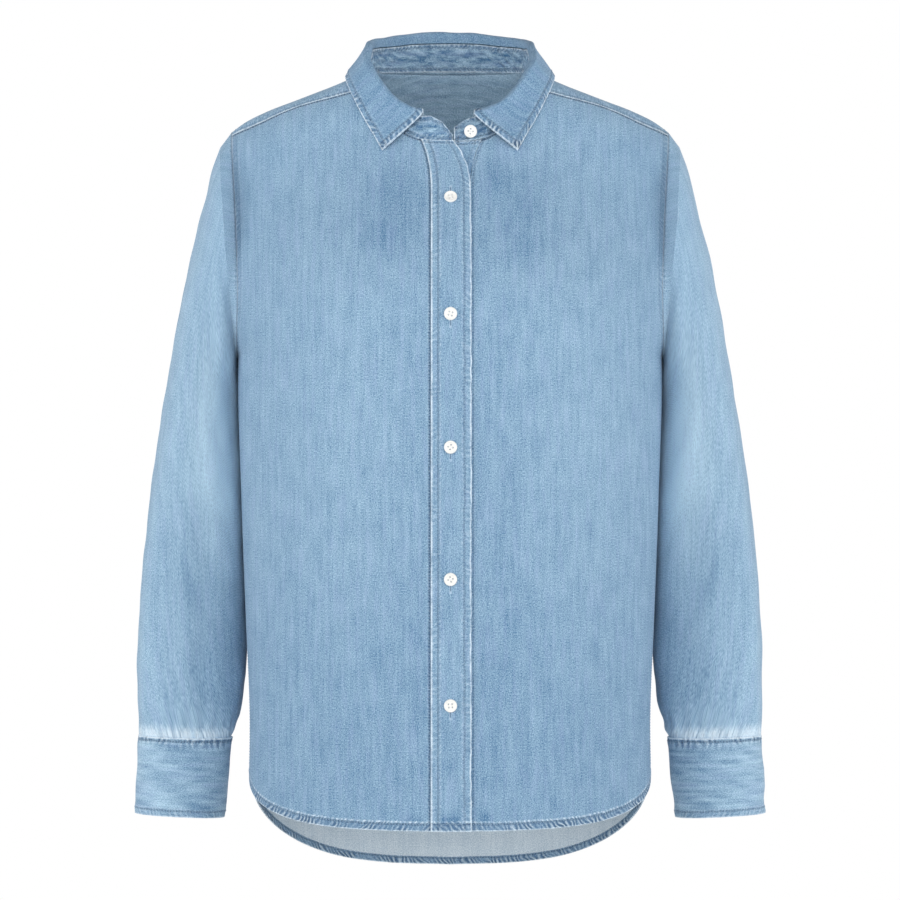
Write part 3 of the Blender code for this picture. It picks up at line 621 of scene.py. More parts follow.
def makeFront(name, sign, seed):
    seam, most, gap = frontPanel["innerSeam"][sign], frontPanel["parting"][sign], torso["seam"]
    points = panelPoints(sign, -1, frontPanel,
                         lambda z: seam + gap + frontPanel["partingOver"] * sign * opening(z, most), gap / 2)
    inward = panelInward(points, -1, (-1,))
    if sign > 0:
        past = points[..., 0] - opening(points[..., 2], most) - seam - frontPanel["dipFrom"]
        points = points + (frontPanel["dip"] * (1 - smooth(past / frontPanel["dipOver"])))[..., None] * inward
    points = puckeredHem(points, inward, seed)
    # a dark line of painted shadow on the front just beside the button strip's edge
    place, strength = frontPanel["placketShadow"][sign]
    placketShadow = {"edge": "first", "stitch": place, "rope": 0.25, "worn": 0.0, "halo": 0.1, "valley": strength}
    wearAndPaintedLight = folds(frontPanel["patches"], points[..., 0], points[..., 2])
    low = frontPanel["darkerFrom"] - points[..., 2]
    wearAndPaintedLight -= frontPanel["darker"] * smooth(low / frontPanel["darkerOver"])
    piece = makeCloth(name, points, inward, {**frontPanel, "seams": frontPanel["seams"] + [placketShadow]}, wearAndPaintedLight,
                      grainOf(points))
    sew(points, inward, hemSeam)
    sew(points, inward, sideSeam, belowArmhole(points), 8)


makeFront("front_right", -1, 3)
makeFront("front_left", 1, 5)


def makeBack():
    half = panelPoints(1, 1, backPanel, lambda z: 0 * z, torso["seam"] / 2)
    points = np.concatenate((half[:0:-1] * (-1, 1, 1), half))
    points = onTorso(points[..., 0], points[..., 2], 1)
    for i in (0, -1):
        points[i, :, 1] += torso["seam"] / 2
    inward = panelInward(points, 1, (0, -1))
    points = puckeredHem(points, inward, 7)
    piece = makeCloth("back", points, inward, backPanel, grain=grainOf(points))
    sew(points, inward, hemSeam)
    sew(points + backPanel["wall"] * inward, -inward, hemSeam)
    for seam in backPanel["seams"][2:0:-1]:
        sew(points, inward, seam, belowArmhole(points), 8)


makeBack()
print("fronts and back made")


# button placket and its underlap

placketEnds = [
    {"edge": "bottom", "stitch": 6.5, "rope": 0.8, "pitch": 5.0, "worn": 1.0, "valley": 0.9, "halo": 0.7,
     "shade": 0.5},
    {"edge": "top", "stitch": 3.0, "rope": 0.6, "pitch": 4.0, "worn": 0.6, "valley": 0.6},
]
strips = {
    "placket": {
        "first": -16.6, "last": 18.6, "parting": (-10.5, -19.5), "lift": 1.0, "wall": 2.2, "columns": 26,
        "flat": (0.035, 0.610), "tone": -0.1,
        "patches": ((-9, -652, 9, -652.5, 5.5, -0.5), (0, -612, 1, -570, 7, -0.2)),
        "seams": [
            {"edge": "first", "stitch": 6.4, "rope": 0.35, "pitch": 5.5, "worn": 1.0, "wornOver": 2.2,
             "valley": 0.7, "halo": 0.3, "shade": 0.0, "even": 0.1},
            {"edge": "last", "stitch": 6.1, "rope": 0.4, "pitch": 6.0, "worn": 1.1, "wornOver": 1.8,
             "valley": 0.6, "halo": 0.25, "shade": 0.0, "even": 0.1},
        ] + placketEnds,
    },
    "under_placket": {
        "first": -10.0, "last": 17.5, "parting": (15.5, 12.0), "lift": -1.6, "wall": 1.8, "columns": 16,
        # its patch is painted shadow under the placket's edge near the neck
        "flat": (0.0275, 0.610), "tone": -0.1, "patches": ((14, -118, 30, -68, 10, -0.6),),
        "seams": [
            {"edge": "first", "stitch": 5.0, "rope": 0.3, "pitch": 5.5, "worn": 0.5, "valley": 0.5},
            {"edge": "last", "stitch": 5.0, "rope": 0.2, "pitch": 6.0, "worn": 0.15, "valley": 0.3,
             "halo": 0.1, "shade": 0.0},
        ] + placketEnds,
    },
}


def stripPoints(strip, rows):
    share = np.linspace(0, 1, strip["columns"])[:, None]
    flatX = strip["first"] + (strip["last"] - strip["first"]) * share
    most = strip["parting"][0] + (strip["parting"][1] - strip["parting"][0]) * share
    top = 0 * flatX - 54
    for _ in range(12):
        top = frontTop(flatX + opening(top, most)) - torso["seam"] / 2
    low = table(torso["hem"], "angle", "front", np.abs(flatX) / 3)
    z = top + (low - top) * np.linspace(0, 1, rows)[None, :] ** torso["rowSpacing"]
    return onTorso(flatX + opening(z, most), z, -1)


def makeStrip(name, seed):
    strip = strips[name]
    points = stripPoints(strip, 400)
    inward = -outOfTorso(points, -1)
    down, across = lengthsAlong(points, 1), lengthsAlong(points, 0)
    points = points - strip["lift"] * inward
    nearEdge = np.minimum(across, across[-1:] - across)
    wave = 0.35 * unevenness(down, 0 * down + 9, 11, seed) * smooth(1 - nearEdge / 8)
    wave += 0.7 * unevenness(down, across, 9, seed + 1) * smooth(1 - (down[:, -1:] - down) / 26)
    points = points - inward * np.clip(wave, -0.25, 0.7)[..., None]
    points[-1, :, 0] += 0.3 * unevenness(down[-1], 0, 18, seed + 2)
    piece = makeCloth(name, points, inward, strip, folds(strip["patches"], points[..., 0], points[..., 2]),
                      grainOf(points))
    for seam in strip["seams"][:2]:
        sew(points, inward, seam, stop=2)
    sew(points, inward, strip["seams"][2], 6, 6)


makeStrip("placket", 11)
makeStrip("under_placket", 21)
print("placket and underlap made")


# yoke over the shoulders, in two layers

yokePiece = {
    "columns": 150, "rows": 44, "wall": 1.2, "flat": (0.46, 0.17), "mostArea": 0.0782, "tone": 0.0,
    "reverse": True,
    "neckSide": ((68, 0), (68.6, -1.6), (69.2, -2.9)),  # x and signed run over the shoulder line
    "neckTurns": (90, 72, 55, 39, 25, 12), "neckRun": 0.6,
    "frontPlaces": 9,  # along the front seam
    "seams": [{"edge": "top", "stitch": 3.2, "rope": 0.5, "worn": 1.5, "wornOver": 1.2, "valley": 0.6},
              {"edge": "bottom", "stitch": 2.2, "rope": 0.45, "worn": 0.6, "valley": 0.5},
              *bothEnds({"stitch": 4, "rope": 0.3, "worn": 0.5, "valley": 0.3})],
}
yokeLining = {
    # the lining's raised tone is painted light, brightening it where little light reaches inside the neck
    "in": 1.6, "wall": 1.0, "tone": 0.25, "rumpled": 1.4, "seams": yokePiece["seams"][:2],
    "creased": 0.5, "creaseSize": 15, "creaseWear": -0.12,  # level creases: height, size and how they fade
}


def yokePlace(x, run):
    # run is signed: its square is the drop below the shoulder line, negative in front
    face = np.where(run < 0, -1, 1)
    return onTorso(x, ridgeZ(x) - run * run, face), face


def neckTops():
    # x and run round the back of the neck to the yoke's front seam
    turns = np.radians(yokePiece["neckTurns"])
    return [(torso["neckX"] * math.cos(t), yokePiece["neckRun"]) for t in turns] + list(yokePiece["neckSide"])


def yokePoints(rows):
    # the solid's own columns first, then finer ones on straight lines between them
    tops = neckTops()
    neckCount = len(tops)
    for x in np.linspace(torso["yokeFrom"], torso["shoulderX"], yokePiece["frontPlaces"]):
        tops.append((x, -math.sqrt(table(torso["yokeFront"], "x", "drop", x))))
    places = np.linspace(0, len(tops) - 1, yokePiece["columns"] // 2 + 1)
    x, run = (np.interp(places, np.arange(len(tops)), column) for column in np.array(tops, float).T)
    footX = np.where(places > neckCount, x, torso["yokeFrom"] * np.minimum(places / neckCount, 1))
    footRun = np.sqrt(ridgeZ(footX) - torso["yokeBackZ"] - torso["seam"])
    share = np.linspace(0, 1, rows)[None, :]
    hereRun = run[:, None] + (footRun - run)[:, None] * share
    hereX = x[:, None] + (footX - x)[:, None] * np.maximum(hereRun, 0) / footRun[:, None]
    hereX[-1] = sideX(ridgeZ(x[-1]) - hereRun[-1] ** 2)
    front = places >= neckCount
    hereRun[front, 0] += torso["seam"] / (2 * np.abs(run[front]))
    points, face = yokePlace(hereX, hereRun)
    return np.concatenate((points[:0:-1] * (-1, 1, 1), points)), np.concatenate((face[:0:-1], face))


def makeYoke():
    points, face = yokePoints(yokePiece["rows"])
    inward = -outOfTorso(points, face)
    for i in (0, -1):
        inward[i] = intoArmhole(points[i])
    grain = -points[..., 2] + points[..., 1], points[..., 0]  # laid crosswise
    piece = makeCloth("yoke", points, inward, yokePiece, grain=grain)
    for seam in yokePiece["seams"]:
        sew(points, inward, seam)
    creased = unevenness(points[..., 0] * 0.25, points[..., 2], yokeLining["creaseSize"], 71)
    creased *= smooth(lengthsAlong(points, 1) / 8)
    inner = points + (yokeLining["in"] + yokeLining["creased"] * np.clip(creased, 0, 1.4))[..., None] * inward
    lining = makeCloth("yoke_lining", inner, inward, yokeLining, yokeLining["creaseWear"] * creased, grain)


makeYoke()
print("yoke made")


# sleeves and cuffs

sleeve = {
    "rows": {  # outer and inner end of each section, half depth and middle of its depth
        "at": tuple(range(1, 16)),
        "outerX": (206.5, 213.5, 220, 227.8, 236.3, 244.5, 252.8, 261.5, 270, 276.8, 281.3, 283.6, 283.6,
                   282.6, 282),
        "outerZ": (-56, -75, -100, -130, -165, -205, -250, -300, -355, -410, -465, -515, -553, -575, -586),
        "innerX": (191.6, 191.6, 191.5, 191.4, 191.2, 190.6, 189.6, 188.2, 186.2, 184.4, 183.2, 183.6, 186.3,
                   193, 198.5),
        "innerZ": (-246.5, -249.5, -252.5, -256, -261, -268, -281, -313, -361, -413, -467, -517, -555, -577,
                   -588),
        "depth": (58, 61, 64.5, 67.5, 70, 70.5, 70, 67, 62.5, 57.5, 52, 45, 39, 33.5, 30.5),
        "middleY": (5, 8, 11, 15, 19.5, 25, 29.5, 33, 35, 36, 36, 34, 30, 28, 27),
    },
    "around": 112, "down": 180, "armholeRows": 6, "wall": 1.2, "flat": (0.36, 0.56), "mostArea": 0.2016,
    "tone": 0.14, "reverse": True,
    "long": 560,  # the length that its folds are placed on
    "foldScale": (0.55, 1.6, 1.15),  # of their lengths, widths and heights
    "gathers": 1.5, "gatherSize": 26, "gatherOver": 42,  # into the cuff
    "uneven": 0.5, "unevenSize": 46,
    "fadedAtCuff": 0.7, "fadedOver": 16,
    "pale": 1.2, "paleBelow": 180.0,  # painted light: the side towards the body is painted paler
    "shadeAboveCuff": 0.25,  # painted shade on that side above the cuff
    "tuckIn": (0.25, 0.6),  # the end slips under the cuff's edge: inward and down
    "seams": [{"edge": "bottom", "stitch": 4.0, "rope": 0.7, "slant": 0.1, "worn": 1.0, "wornOver": 14.0,
               "valley": 0.0, "halo": 0.2, "reach": 18.0, "even": 0.3},
              {"edge": "top", "stitch": 1.5, "rope": 0.3, "worn": 0.15, "valley": 0.3}],
    # folds in degrees round from the outer line through the front, and mm below the shoulder
    "folds": {
        1: ((62, 350, 66, 545, 9, -2.6), (96, 400, 84, 560, 8, 1.8), (38, 430, 44, 552, 8, 1.6),
            (120, 250, 100, 420, 12, -1.8), (150, 60, 120, 200, 14, -1.8), (50, 120, 64, 300, 16, 1.2),
            (200, 330, 210, 550, 12, -2.2), (300, 360, 285, 550, 12, -2.2), (250, 300, 240, 540, 12, 1.8),
            (170, 470, 160, 560, 9, -2.0)),
        -1: ((60, 340, 70, 545, 9, -2.8), (92, 410, 86, 560, 8, 1.9), (36, 440, 40, 552, 8, 1.5),
             (116, 260, 98, 430, 12, -1.9), (148, 70, 118, 210, 14, -1.8), (46, 130, 60, 310, 16, 1.2),
             (206, 340, 200, 550, 12, -2.2), (296, 350, 290, 550, 12, -2.2), (248, 310, 244, 540, 12, 1.8),
             (172, 475, 164, 560, 9, -2.0)),
    },
}
cuff = {
    "rows": {
        "at": (0, 1, 2),
        "outerX": (281.8, 283.3, 285), "outerZ": (-586.6, -622, -656.5),
        "innerX": (199.3, 202.5, 206), "innerZ": (-588.6, -625, -660.5),
        "depth": (31, 30, 29), "middleY": (27, 25.5, 23.5),
    },
    "lapAt": 295, "over": 384, "swell": 0.085,  # degrees round where the lap starts, and how it spirals
    "solidColumns": 30,  # the sewn band stops one of these short
    "around": 200, "down": 50, "wall": 2.0, "flat": (0.245, 0.07), "tone": -0.1, "rumpled": 0.8,
    "pale": 0.35, "paleFrom": 215.0, "paleOver": 60,  # the outer side is paler
    "seams": [{"edge": "bottom", "stitch": 5.6, "rope": 0.45, "pitch": 5.0, "worn": 0.7, "valley": 0.75,
               "shade": 0.1},
              {"edge": "top", "stitch": 3.2, "rope": 1.2, "pitch": 6.5, "slant": 0.15, "worn": 1.6,
               "wornOver": 1.7, "valley": 1.0, "shade": 0.25, "reach": 13.0, "even": 0.05, "lit": 0.4},
              *bothEnds({"stitch": 5, "rope": 0.4, "worn": 0.7, "valley": 0.6})],
}
tubeRoundness = 2.2  # of the sleeves' and cuffs' sections


def tubePoints(rows, at, sign, turns, grow=1.0):
    at = at[None, :]

    def end(side):
        x, z = (table(rows, "at", side + key, at) for key in ("X", "Z"))
        return np.stack((x, 0 * x, z), axis=-1)

    top, foot = end("outer"), end("inner")
    grow = (grow + 0 * turns)[:, None, None]
    c, s = (f(np.radians(turns))[:, None, None] for f in (np.cos, np.sin))
    size = grow / (np.abs(c) ** tubeRoundness + np.abs(s) ** tubeRoundness) ** (1 / tubeRoundness)
    points = (top + foot) / 2 + size * c * (top - foot) / 2
    points[..., 1] = table(rows, "at", "middleY", at) - (size * s)[..., 0] * table(rows, "at", "depth", at)
    return points * (sign, 1, 1)


def armholeLoop(sign, turns):
    middle, tall = armholeSpan()
    z = middle + tall * np.cos(np.radians(turns))
    points = onTorso(sideX(z), z, np.where(turns < 180, -1, 1))
    points[:, 0] += torso["seam"]
    return points * (sign, 1, 1)


def gridInward(points, ring):
    around = np.roll(points, -1, 0) - np.roll(points, 1, 0) if ring else np.gradient(points, axis=0)
    across = np.cross(around, np.gradient(points, axis=1))
    across /= np.maximum(np.linalg.norm(across, axis=2, keepdims=True), 1e-9)
    return across if np.sum(across * (points.mean(axis=0, keepdims=True) - points)) > 0 else -across


def sleeveFolds(points, sign, seed, turns, down):
    # how far each point of the sleeve moves in for its folds, and the gathers at the cuff
    toCuff = down[:, -1:] - down
    held = smooth(down / 40) * smooth(toCuff / 16)
    shorter, wider, higher = sleeve["foldScale"]
    rows = [(fromTurn, fromDown * shorter, toTurn, toDown * shorter, wide * wider, high * higher)
            for fromTurn, fromDown, toTurn, toDown, wide, high in sleeve["folds"][sign]]
    long = sleeve["long"] * down / down[:, -1:]
    shift = folds(rows, turns[:, None] + 0 * long, long * shorter) * held
    x, y, z = (points[..., k] for k in range(3))
    gathers = unevenness(x * 1.6, y * 1.6 + 0.12 * toCuff, sleeve["gatherSize"], seed)
    nearCuff = sleeve["gathers"] * np.clip(gathers, -1.2, 1.2) * smooth(1 - toCuff / sleeve["gatherOver"])
    shift += nearCuff * smooth(toCuff / 14)
    shift += sleeve["uneven"] * unevenness(y + x, z, sleeve["unevenSize"], seed + 1) * held
    return shift, gathers, toCuff


def makeSleeve(name, sign, seed):
    turns = np.arange(sleeve["around"]) * 360 / sleeve["around"]
    loop = armholeLoop(sign, turns)[:, None]
    count = sleeve["armholeRows"]
    lower = tubePoints(sleeve["rows"], np.linspace(1, 15, sleeve["down"] - count), sign, turns)
    near = loop + (lower[:, :1] - loop) * np.linspace(0, 1, count + 1)[None, :-1, None]
    points = np.concatenate((near, lower), axis=1)
    inward = gridInward(points, True)
    inward[:, 0] = intoArmhole(points[:, 0])
    shift, gathers, toCuff = sleeveFolds(points, sign, seed, turns, lengthsAlong(points, 1))
    points = points - inward * shift[..., None]
    tuckIn, tuckDown = sleeve["tuckIn"]
    points[:, -1] += tuckIn * inward[:, -1] - (0, 0, tuckDown)
    wearAndPaintedLight = np.clip(0.05 * shift, -0.1, 0.12)
    wearAndPaintedLight += sleeve["fadedAtCuff"] * smooth(1 - toCuff / sleeve["fadedOver"]) * (0.8 + 0.35 * gathers)
    # painted light on the side towards the body, and painted shade on that side above the cuff
    inner = 0.45 - np.cos(np.radians(turns))[:, None]
    low = smooth((-points[..., 2] - sleeve["paleBelow"]) / 130)
    wearAndPaintedLight += sleeve["pale"] * smooth(inner / 1.2) * low * smooth((toCuff - 70) / 200)
    wearAndPaintedLight -= sleeve["shadeAboveCuff"] * smooth(inner / 0.35) * smooth((260 - toCuff) / 130) * smooth((toCuff - 12) / 30)
    piece = makeCloth(name, points, inward, sleeve, wearAndPaintedLight, ring=True)


def cuffPoints(share, rows, sign):
    # the cuff's band spirals out by its swell, so that its end laps over its start
    turns = cuff["lapAt"] + cuff["over"] * share
    return tubePoints(cuff["rows"], rows, sign, turns, 1 + cuff["swell"] * share)


def makeCuff(name, sign, seed):
    share = np.linspace(0, 1, cuff["around"]) * ((cuff["solidColumns"] - 1) / cuff["solidColumns"])
    points = cuffPoints(share, np.linspace(0, 2, cuff["down"]), sign)
    inward = gridInward(points, False)
    down, around = lengthsAlong(points, 1), lengthsAlong(points, 0)
    toEdge = np.minimum(down, down[:, -1:] - down)
    wave = 0.35 * unevenness(around, down, 12, seed) * smooth(1 - np.abs(toEdge - 3.5) / 8)
    wave += 0.8 * unevenness(around, down * 1.4, 55, seed + 1) * smooth(toEdge / 14)
    points = points - inward * np.clip(wave, -0.7, 0.9)[..., None]
    wearAndPaintedLight = cuff["pale"] * smooth((np.abs(points[..., 0]) - cuff["paleFrom"]) / cuff["paleOver"])
    wearAndPaintedLight += 0.22 * unevenness(down, around * 0.12, 7, seed + 2) * smooth(toEdge / 8)
    piece = makeCloth(name, points, inward, cuff, wearAndPaintedLight, (down, around))
    for seam in cuff["seams"][:2]:
        sew(points, inward, seam)
    sew(points, inward, cuff["seams"][3], 5, 5)


for side, sign in (("right", -1), ("left", 1)):
    makeSleeve("sleeve_" + side, sign, 31 + sign)
    makeCuff("cuff_" + side, sign, 41 + sign)
print("sleeves and cuffs made")


# collar: the stand round the neck and the leaf rolled over it

stand = {
    "run": (0, 4, 8, 14, 19, 29, 50, 70, 100, 120, 140, 160, 180, 205),
    # height at the right and left front end, and lean away from the neck
    "right": (4.2, 9.6, 14.4, 18.2, 20.4, 19.2, 19.4, 20.8, 20.2, 18.5, 18.5, 20.5, 21.5, 24),
    "left": (10.8, 15, 16.6, 18.6, 19.6, 19.2, 19.4, 20.8, 20.2, 18.5, 18.5, 20.5, 21.5, 24),
    "lean": (0, 0, 0, 0, 0, 0.02, 0.10, 0.14, 0.15, 0.14, 0.14, 0.16, 0.20, 0.24),
    "upBy": 1.1, "sewnDown": -0.5,  # it rises past its table and starts below the neck seam
    "meets": (2.4, 3.6),  # x of its two front ends
    "columns": 49, "rows": 24, "finer": 289, "wall": 2.0, "flat": (0.435, 0.025),
    "tone": -0.2, "rumpled": 4.2,
    "seams": [{"edge": "top", "stitch": 3.0, "rope": 0.75, "worn": 0.4, "valley": 0.6, "halo": 0.4},
              {"edge": "bottom", "stitch": 3.2, "rope": 0.75, "worn": 0.7, "valley": 0.6, "halo": 0.3},
              *bothEnds({"stitch": 3.2, "rope": 0.5, "worn": 0.9, "valley": 0.5})],
}
leafSeam = {"stitch": 5.6, "rope": 1.3, "pitch": 5.2, "slant": 0.9, "worn": 1.0, "wornOver": 1.3,
            "valley": 0.8, "lit": 0.5, "even": 0.1}
leaf = {  # tables over half the leaf, from its front end to the middle of the back
    "run": (0, 0.10, 0.22, 0.36, 0.50, 0.66, 0.82, 1.0),
    "edgeX": (60, 72.6, 82.8, 91, 91.8, 77.5, 45, 0),
    "edgeRun": (-8.88, -7.3, -5.5, -3, 0, 3.6, 4.8, 5),
    "standOff": (1.2, 1.4, 1.8, 2.2, 2.8, 7, 10, 11),
    "rise": (1.3, 1.6, 2.0, 2.8, 3.4, 4.2, 5.2, 6),
    "roll": (3.9, 3.9, 4.0, 3.8, 3.4, 3.8, 4.4, 4.8),
    "fall": (4, 4.5, 5, 5.5, 6, 7, 9, 10),
    "starts": (26, 17.5), "above": 0.9,  # how far from the stand's two ends, and the gap over it
    "turns": (180, 14),  # degrees over which it rolls
    "liftRows": 3, "hang": (0.62, 1.5),  # how the cloth hangs from the roll to its edge
    "columns": 41, "rows": 60, "finer": 281, "wall": 2.0, "flat": (0.40, 0.062), "tone": -0.28,
    "seams": [{"edge": "bottom", **leafSeam, "shade": 0.1}, *bothEnds(leafSeam)],
}


def neckCurve(count):
    x = np.linspace(0, torso["yokeFrom"], 18)
    front = onTorso(x, frontTop(x), -1)
    side = np.array(neckTops()[::-1], float)
    half = np.concatenate((front, yokePlace(side[:, 0], side[:, 1])[0]))
    start, end = (half[0] * (0, 1, 1) + (x, 0, 0) for x in stand["meets"])
    whole = np.concatenate(([start], (half * (-1, 1, 1))[1:], half[-2:0:-1], [end]))
    run = lengthsAlong(whole, 0)
    places = np.linspace(0, run[-1], count)
    return np.stack([np.interp(places, run, whole[:, k]) for k in range(3)], axis=-1), places


def standPoints(count, rows):
    curve, places = neckCurve(count)
    total = places[-1]
    inward = np.cross((0, 0, 1), np.gradient(curve, axis=0))
    inward /= np.linalg.norm(inward, axis=1, keepdims=True)
    inward = -inward if inward[0][1] < 0 else inward
    run = np.minimum(places, total - places)
    right, left, lean = (table(stand, "run", key, run) for key in ("right", "left", "lean"))
    low, high = stand["sewnDown"], np.where(places < total / 2, right, left)
    up = low + (stand["upBy"] + high - low)[:, None] * np.linspace(0, 1, rows)[None, :]
    off = -lean[:, None] * up
    points = curve[:, None] + off[..., None] * inward[:, None] + up[..., None] * np.array((0, 0, 1))
    return points, np.repeat(inward[:, None], rows, axis=1), places


def resampled(points, count):
    # a grid's columns at even steps between its own
    number, places = np.arange(len(points), dtype=float), np.linspace(0, len(points) - 1, count)
    flat = points.reshape(len(points), -1)
    made = np.stack([np.interp(places, number, flat[:, k]) for k in range(flat.shape[1])], axis=-1)
    return made.reshape((count,) + points.shape[1:])


def makeStand():
    points, inward, _ = standPoints(stand["columns"], stand["rows"])
    points, inward = (resampled(grid, stand["finer"]) for grid in (points, inward))
    along, up = lengthsAlong(points, 0), lengthsAlong(points, 1)
    toEdge = np.minimum(up, up[:, -1:] - up)
    wave = 0.5 * unevenness(along, up * 0.25, 6.5, 51) * smooth(1 - toEdge / 8)
    wave += 0.9 * unevenness(along, up * 1.6, 13, 52) * smooth(toEdge / 4)
    points = points - inward * np.clip(wave, -1.0, 1.0)[..., None]
    piece = makeCloth("collar_stand", points, inward, stand, grain=(up, along))
    for seam in stand["seams"]:
        sew(points, inward, seam, 3, 3)
    for seam in stand["seams"][:2]:
        sew(points + stand["wall"] * inward, -inward, seam, 3, 3)


def leafGrid(columns, rows):
    # each column lifts off the stand, rolls over and hangs to the leaf's edge
    grid, inward, places = standPoints(97, 4)
    total = places[-1]
    share = np.linspace(0, 1, columns)
    halfRun = 1 - np.abs(2 * share - 1)
    starts = np.where(share < 0.5, *leaf["starts"])
    place = starts + (total / 2 - starts) * halfRun
    place = np.where(share < 0.5, place, total - place)
    seam, into = (np.stack([np.interp(place, places, a[:, -1, k]) for k in range(3)], axis=-1)
                  for a in (grid, inward))
    into /= np.linalg.norm(into, axis=1, keepdims=True)
    start = seam + leaf["wall"] * into + (0, 0, leaf["above"])
    edgeX, edgeRun, standOff, rise, radius, fall = (
        table(leaf, "run", key, halfRun) for key in ("edgeX", "edgeRun", "standOff", "rise", "roll", "fall"))
    edge, face = yokePlace(np.where(share < 0.5, -1, 1) * edgeX, edgeRun)
    edge = edge + (leaf["wall"] + standOff)[:, None] * outOfTorso(edge, face)
    rise, radius, fall = (a[:, None] for a in (rise, radius, fall))
    up = np.array((0.0, 0.0, 1.0))
    top = start + rise * up
    lift = [start + (top - start) * t for t in np.linspace(0, 1, leaf["liftRows"] + 1)[:-1]]
    turns = np.radians(np.linspace(*leaf["turns"], rows // 3))
    over = [top - radius * into + radius * (-math.cos(t) * into + math.sin(t) * up) for t in turns]
    onward = -math.sin(turns[-1]) * into - math.cos(turns[-1]) * up
    foot = over[-1]
    share, away = leaf["hang"]
    handles = foot, foot + fall * onward, foot + share * (edge - foot) - away * into, edge
    down = []
    for t in np.linspace(0, 1, rows - len(lift) - len(over) + 1)[1:]:
        weights = (1 - t) ** 3, 3 * t * (1 - t) ** 2, 3 * t * t * (1 - t), t ** 3
        down.append(sum(w * h for w, h in zip(weights, handles)))
    points = np.stack(lift + over + down, axis=1)
    under = gridInward(points, False)
    under = -under if under[columns // 2, 0, 1] < 0 else under
    under[:, 0] = -into
    return points, under


def makeLeaf():
    points, under = (resampled(grid, leaf["finer"]) for grid in leafGrid(leaf["columns"], leaf["rows"]))
    under /= np.linalg.norm(under, axis=2, keepdims=True)
    along, over = lengthsAlong(points, 0), lengthsAlong(points, 1)
    toEdge = np.minimum(np.minimum(along, along[-1:] - along), over[:, -1:] - over)
    wave = 0.3 * unevenness(along, over, 9, 61) * smooth(1 - np.abs(toEdge - 4) / 7)
    wave += 0.35 * unevenness(along, over, 34, 62) * smooth(toEdge / 10) * smooth(over / 12)
    points = points - under * np.clip(wave, -0.3, 0.8)[..., None]
    piece = makeCloth("collar_leaf", points, under, leaf)
    for seam, start in zip(leaf["seams"], (5.6, 12, 12)):
        sew(points, under, seam, start, 5.6)


makeStand()
makeLeaf()
print("collar made")


# buttons, their thread and their buttonholes

button = {
    "radius": 5.8, "thick": 2.6, "steps": 48,
    # shares of radius and thickness, from the middle of the back to the middle of the face
    "profile": ((0, 0), (0.8, 0), (0.93, 0.16), (1, 0.45), (0.985, 0.72), (0.93, 0.93), (0.86, 1.0),
                (0.78, 0.97), (0.71, 0.84), (0.66, 0.74), (0.58, 0.69), (0.3, 0.66), (0, 0.66)),
    "holeRadius": 0.72, "holeOut": 2.0,  # four holes, distance from the middle
    "x": 0.5, "z": (-107.2, -210, -326, -441, -551), "seatUp": 1.3,
    "turns": (12, 75, 33, 58, 5),  # degrees that each was sewn on at
    "standX": 18.5, "standUp": 8.0, "standOut": 0.9, "standTurn": 40,
    "cuffColumn": 27, "cuffOut": 0.3, "cuffTurn": 20,
    "white": "#F2F2EF", "shade": "#E4E4E0", "roughness": 0.32,
}
strand = {"radius": 0.22, "apart": 0.15, "sunk": 1.4, "bent": 0.2, "arch": 0.25}  # thread through the holes
buttonhole = {
    "long": 15.0, "wide": 2.6, "count": 22, "out": 0.98, "cuffOut": 0.05,
    "shift": (3.0, -3.2),  # the first button sits low in its hole, the others high
    "thread": 0.26, "barThread": 0.3, "bars": 5, "barStep": 0.45,
    "uneven": (0.08, 0.12),  # how much the stitches' ends and lean differ
}


def makeButtonPlastic():
    # polyester resin, moulded and tumbled: a faint cloud in the white and a soft polish
    material, add, setSurface = newMaterial("mouldedResin_button")
    cloud = add("TexNoise", {"Vector": add("TexCoord", output="Object"), "Scale": 260.0, "Detail": 2.0})
    colour = add("Mix", {0: cloud, 6: linear(button["shade"]), 7: linear(button["white"])}, output=2)
    setSurface({"Base Color": colour, "Roughness": button["roughness"], "IOR": 1.5, "Specular IOR Level": 0.5,
                "Metallic": 0.0})
    return material


def makeThreadMaterial(name, hexes):
    # spun polyester thread: matt, and a little uneven in colour
    material, add, setSurface = newMaterial(name)
    patch = add("TexNoise", {"Vector": add("TexCoord", output="Object"), "Scale": 700.0, "Detail": 1.0})
    darker, paler = (linear(shade) for shade in hexes)
    setSurface({"Base Color": add("Mix", {0: patch, 6: darker, 7: paler}, output=2), "Roughness": 0.7})
    return material


resin = makeButtonPlastic()
threads = {name: makeThreadMaterial(name, hexes) for name, hexes in (
    ("polyesterThread_pale", ("#86A9C8", "#BFD5E5")), ("polyesterThread_white", ("#DADDE0", "#F0F1F2")),
    # the last is the painted shadow in the buttonhole slits, made the same way
    ("polyesterThread_blue", ("#5C7FA3", "#A9C6DA")), ("cutEdge_shaded", ("#3F5C7A", "#4E6C8C")))}


def joinedGroups(groups):
    # groups of (verts, faces) as one pair of lists
    verts, faces, start = [], [], 0
    for points, polygons in groups:
        verts.append(np.asarray(points, float))
        faces += [tuple(start + n for n in polygon) for polygon in polygons]
        start += len(points)
    return np.concatenate(verts), faces


def turnedDisc(steps):
    rows = np.array(button["profile"][1:-1], float) * (button["radius"], button["thick"])
    turns = np.linspace(0, 2 * math.pi, steps, endpoint=False)
    verts = [(r * math.cos(t), r * math.sin(t), h) for r, h in rows for t in turns]
    top = (len(rows) - 1) * steps
    return verts, ringFaces(len(rows), steps) + [tuple(range(steps))[::-1], tuple(range(top, top + steps))]


def frameAt(normal, turn=0.0):
    # a button's own axes: its face along the normal, its holes turned by some degrees
    out = Vector(normal).normalized()
    side = Vector((0, 0, 1)).cross(out).normalized()
    basis = Matrix((side, out.cross(side), out)).transposed()
    return np.array(basis @ Matrix.Rotation(math.radians(turn), 3, "Z"))


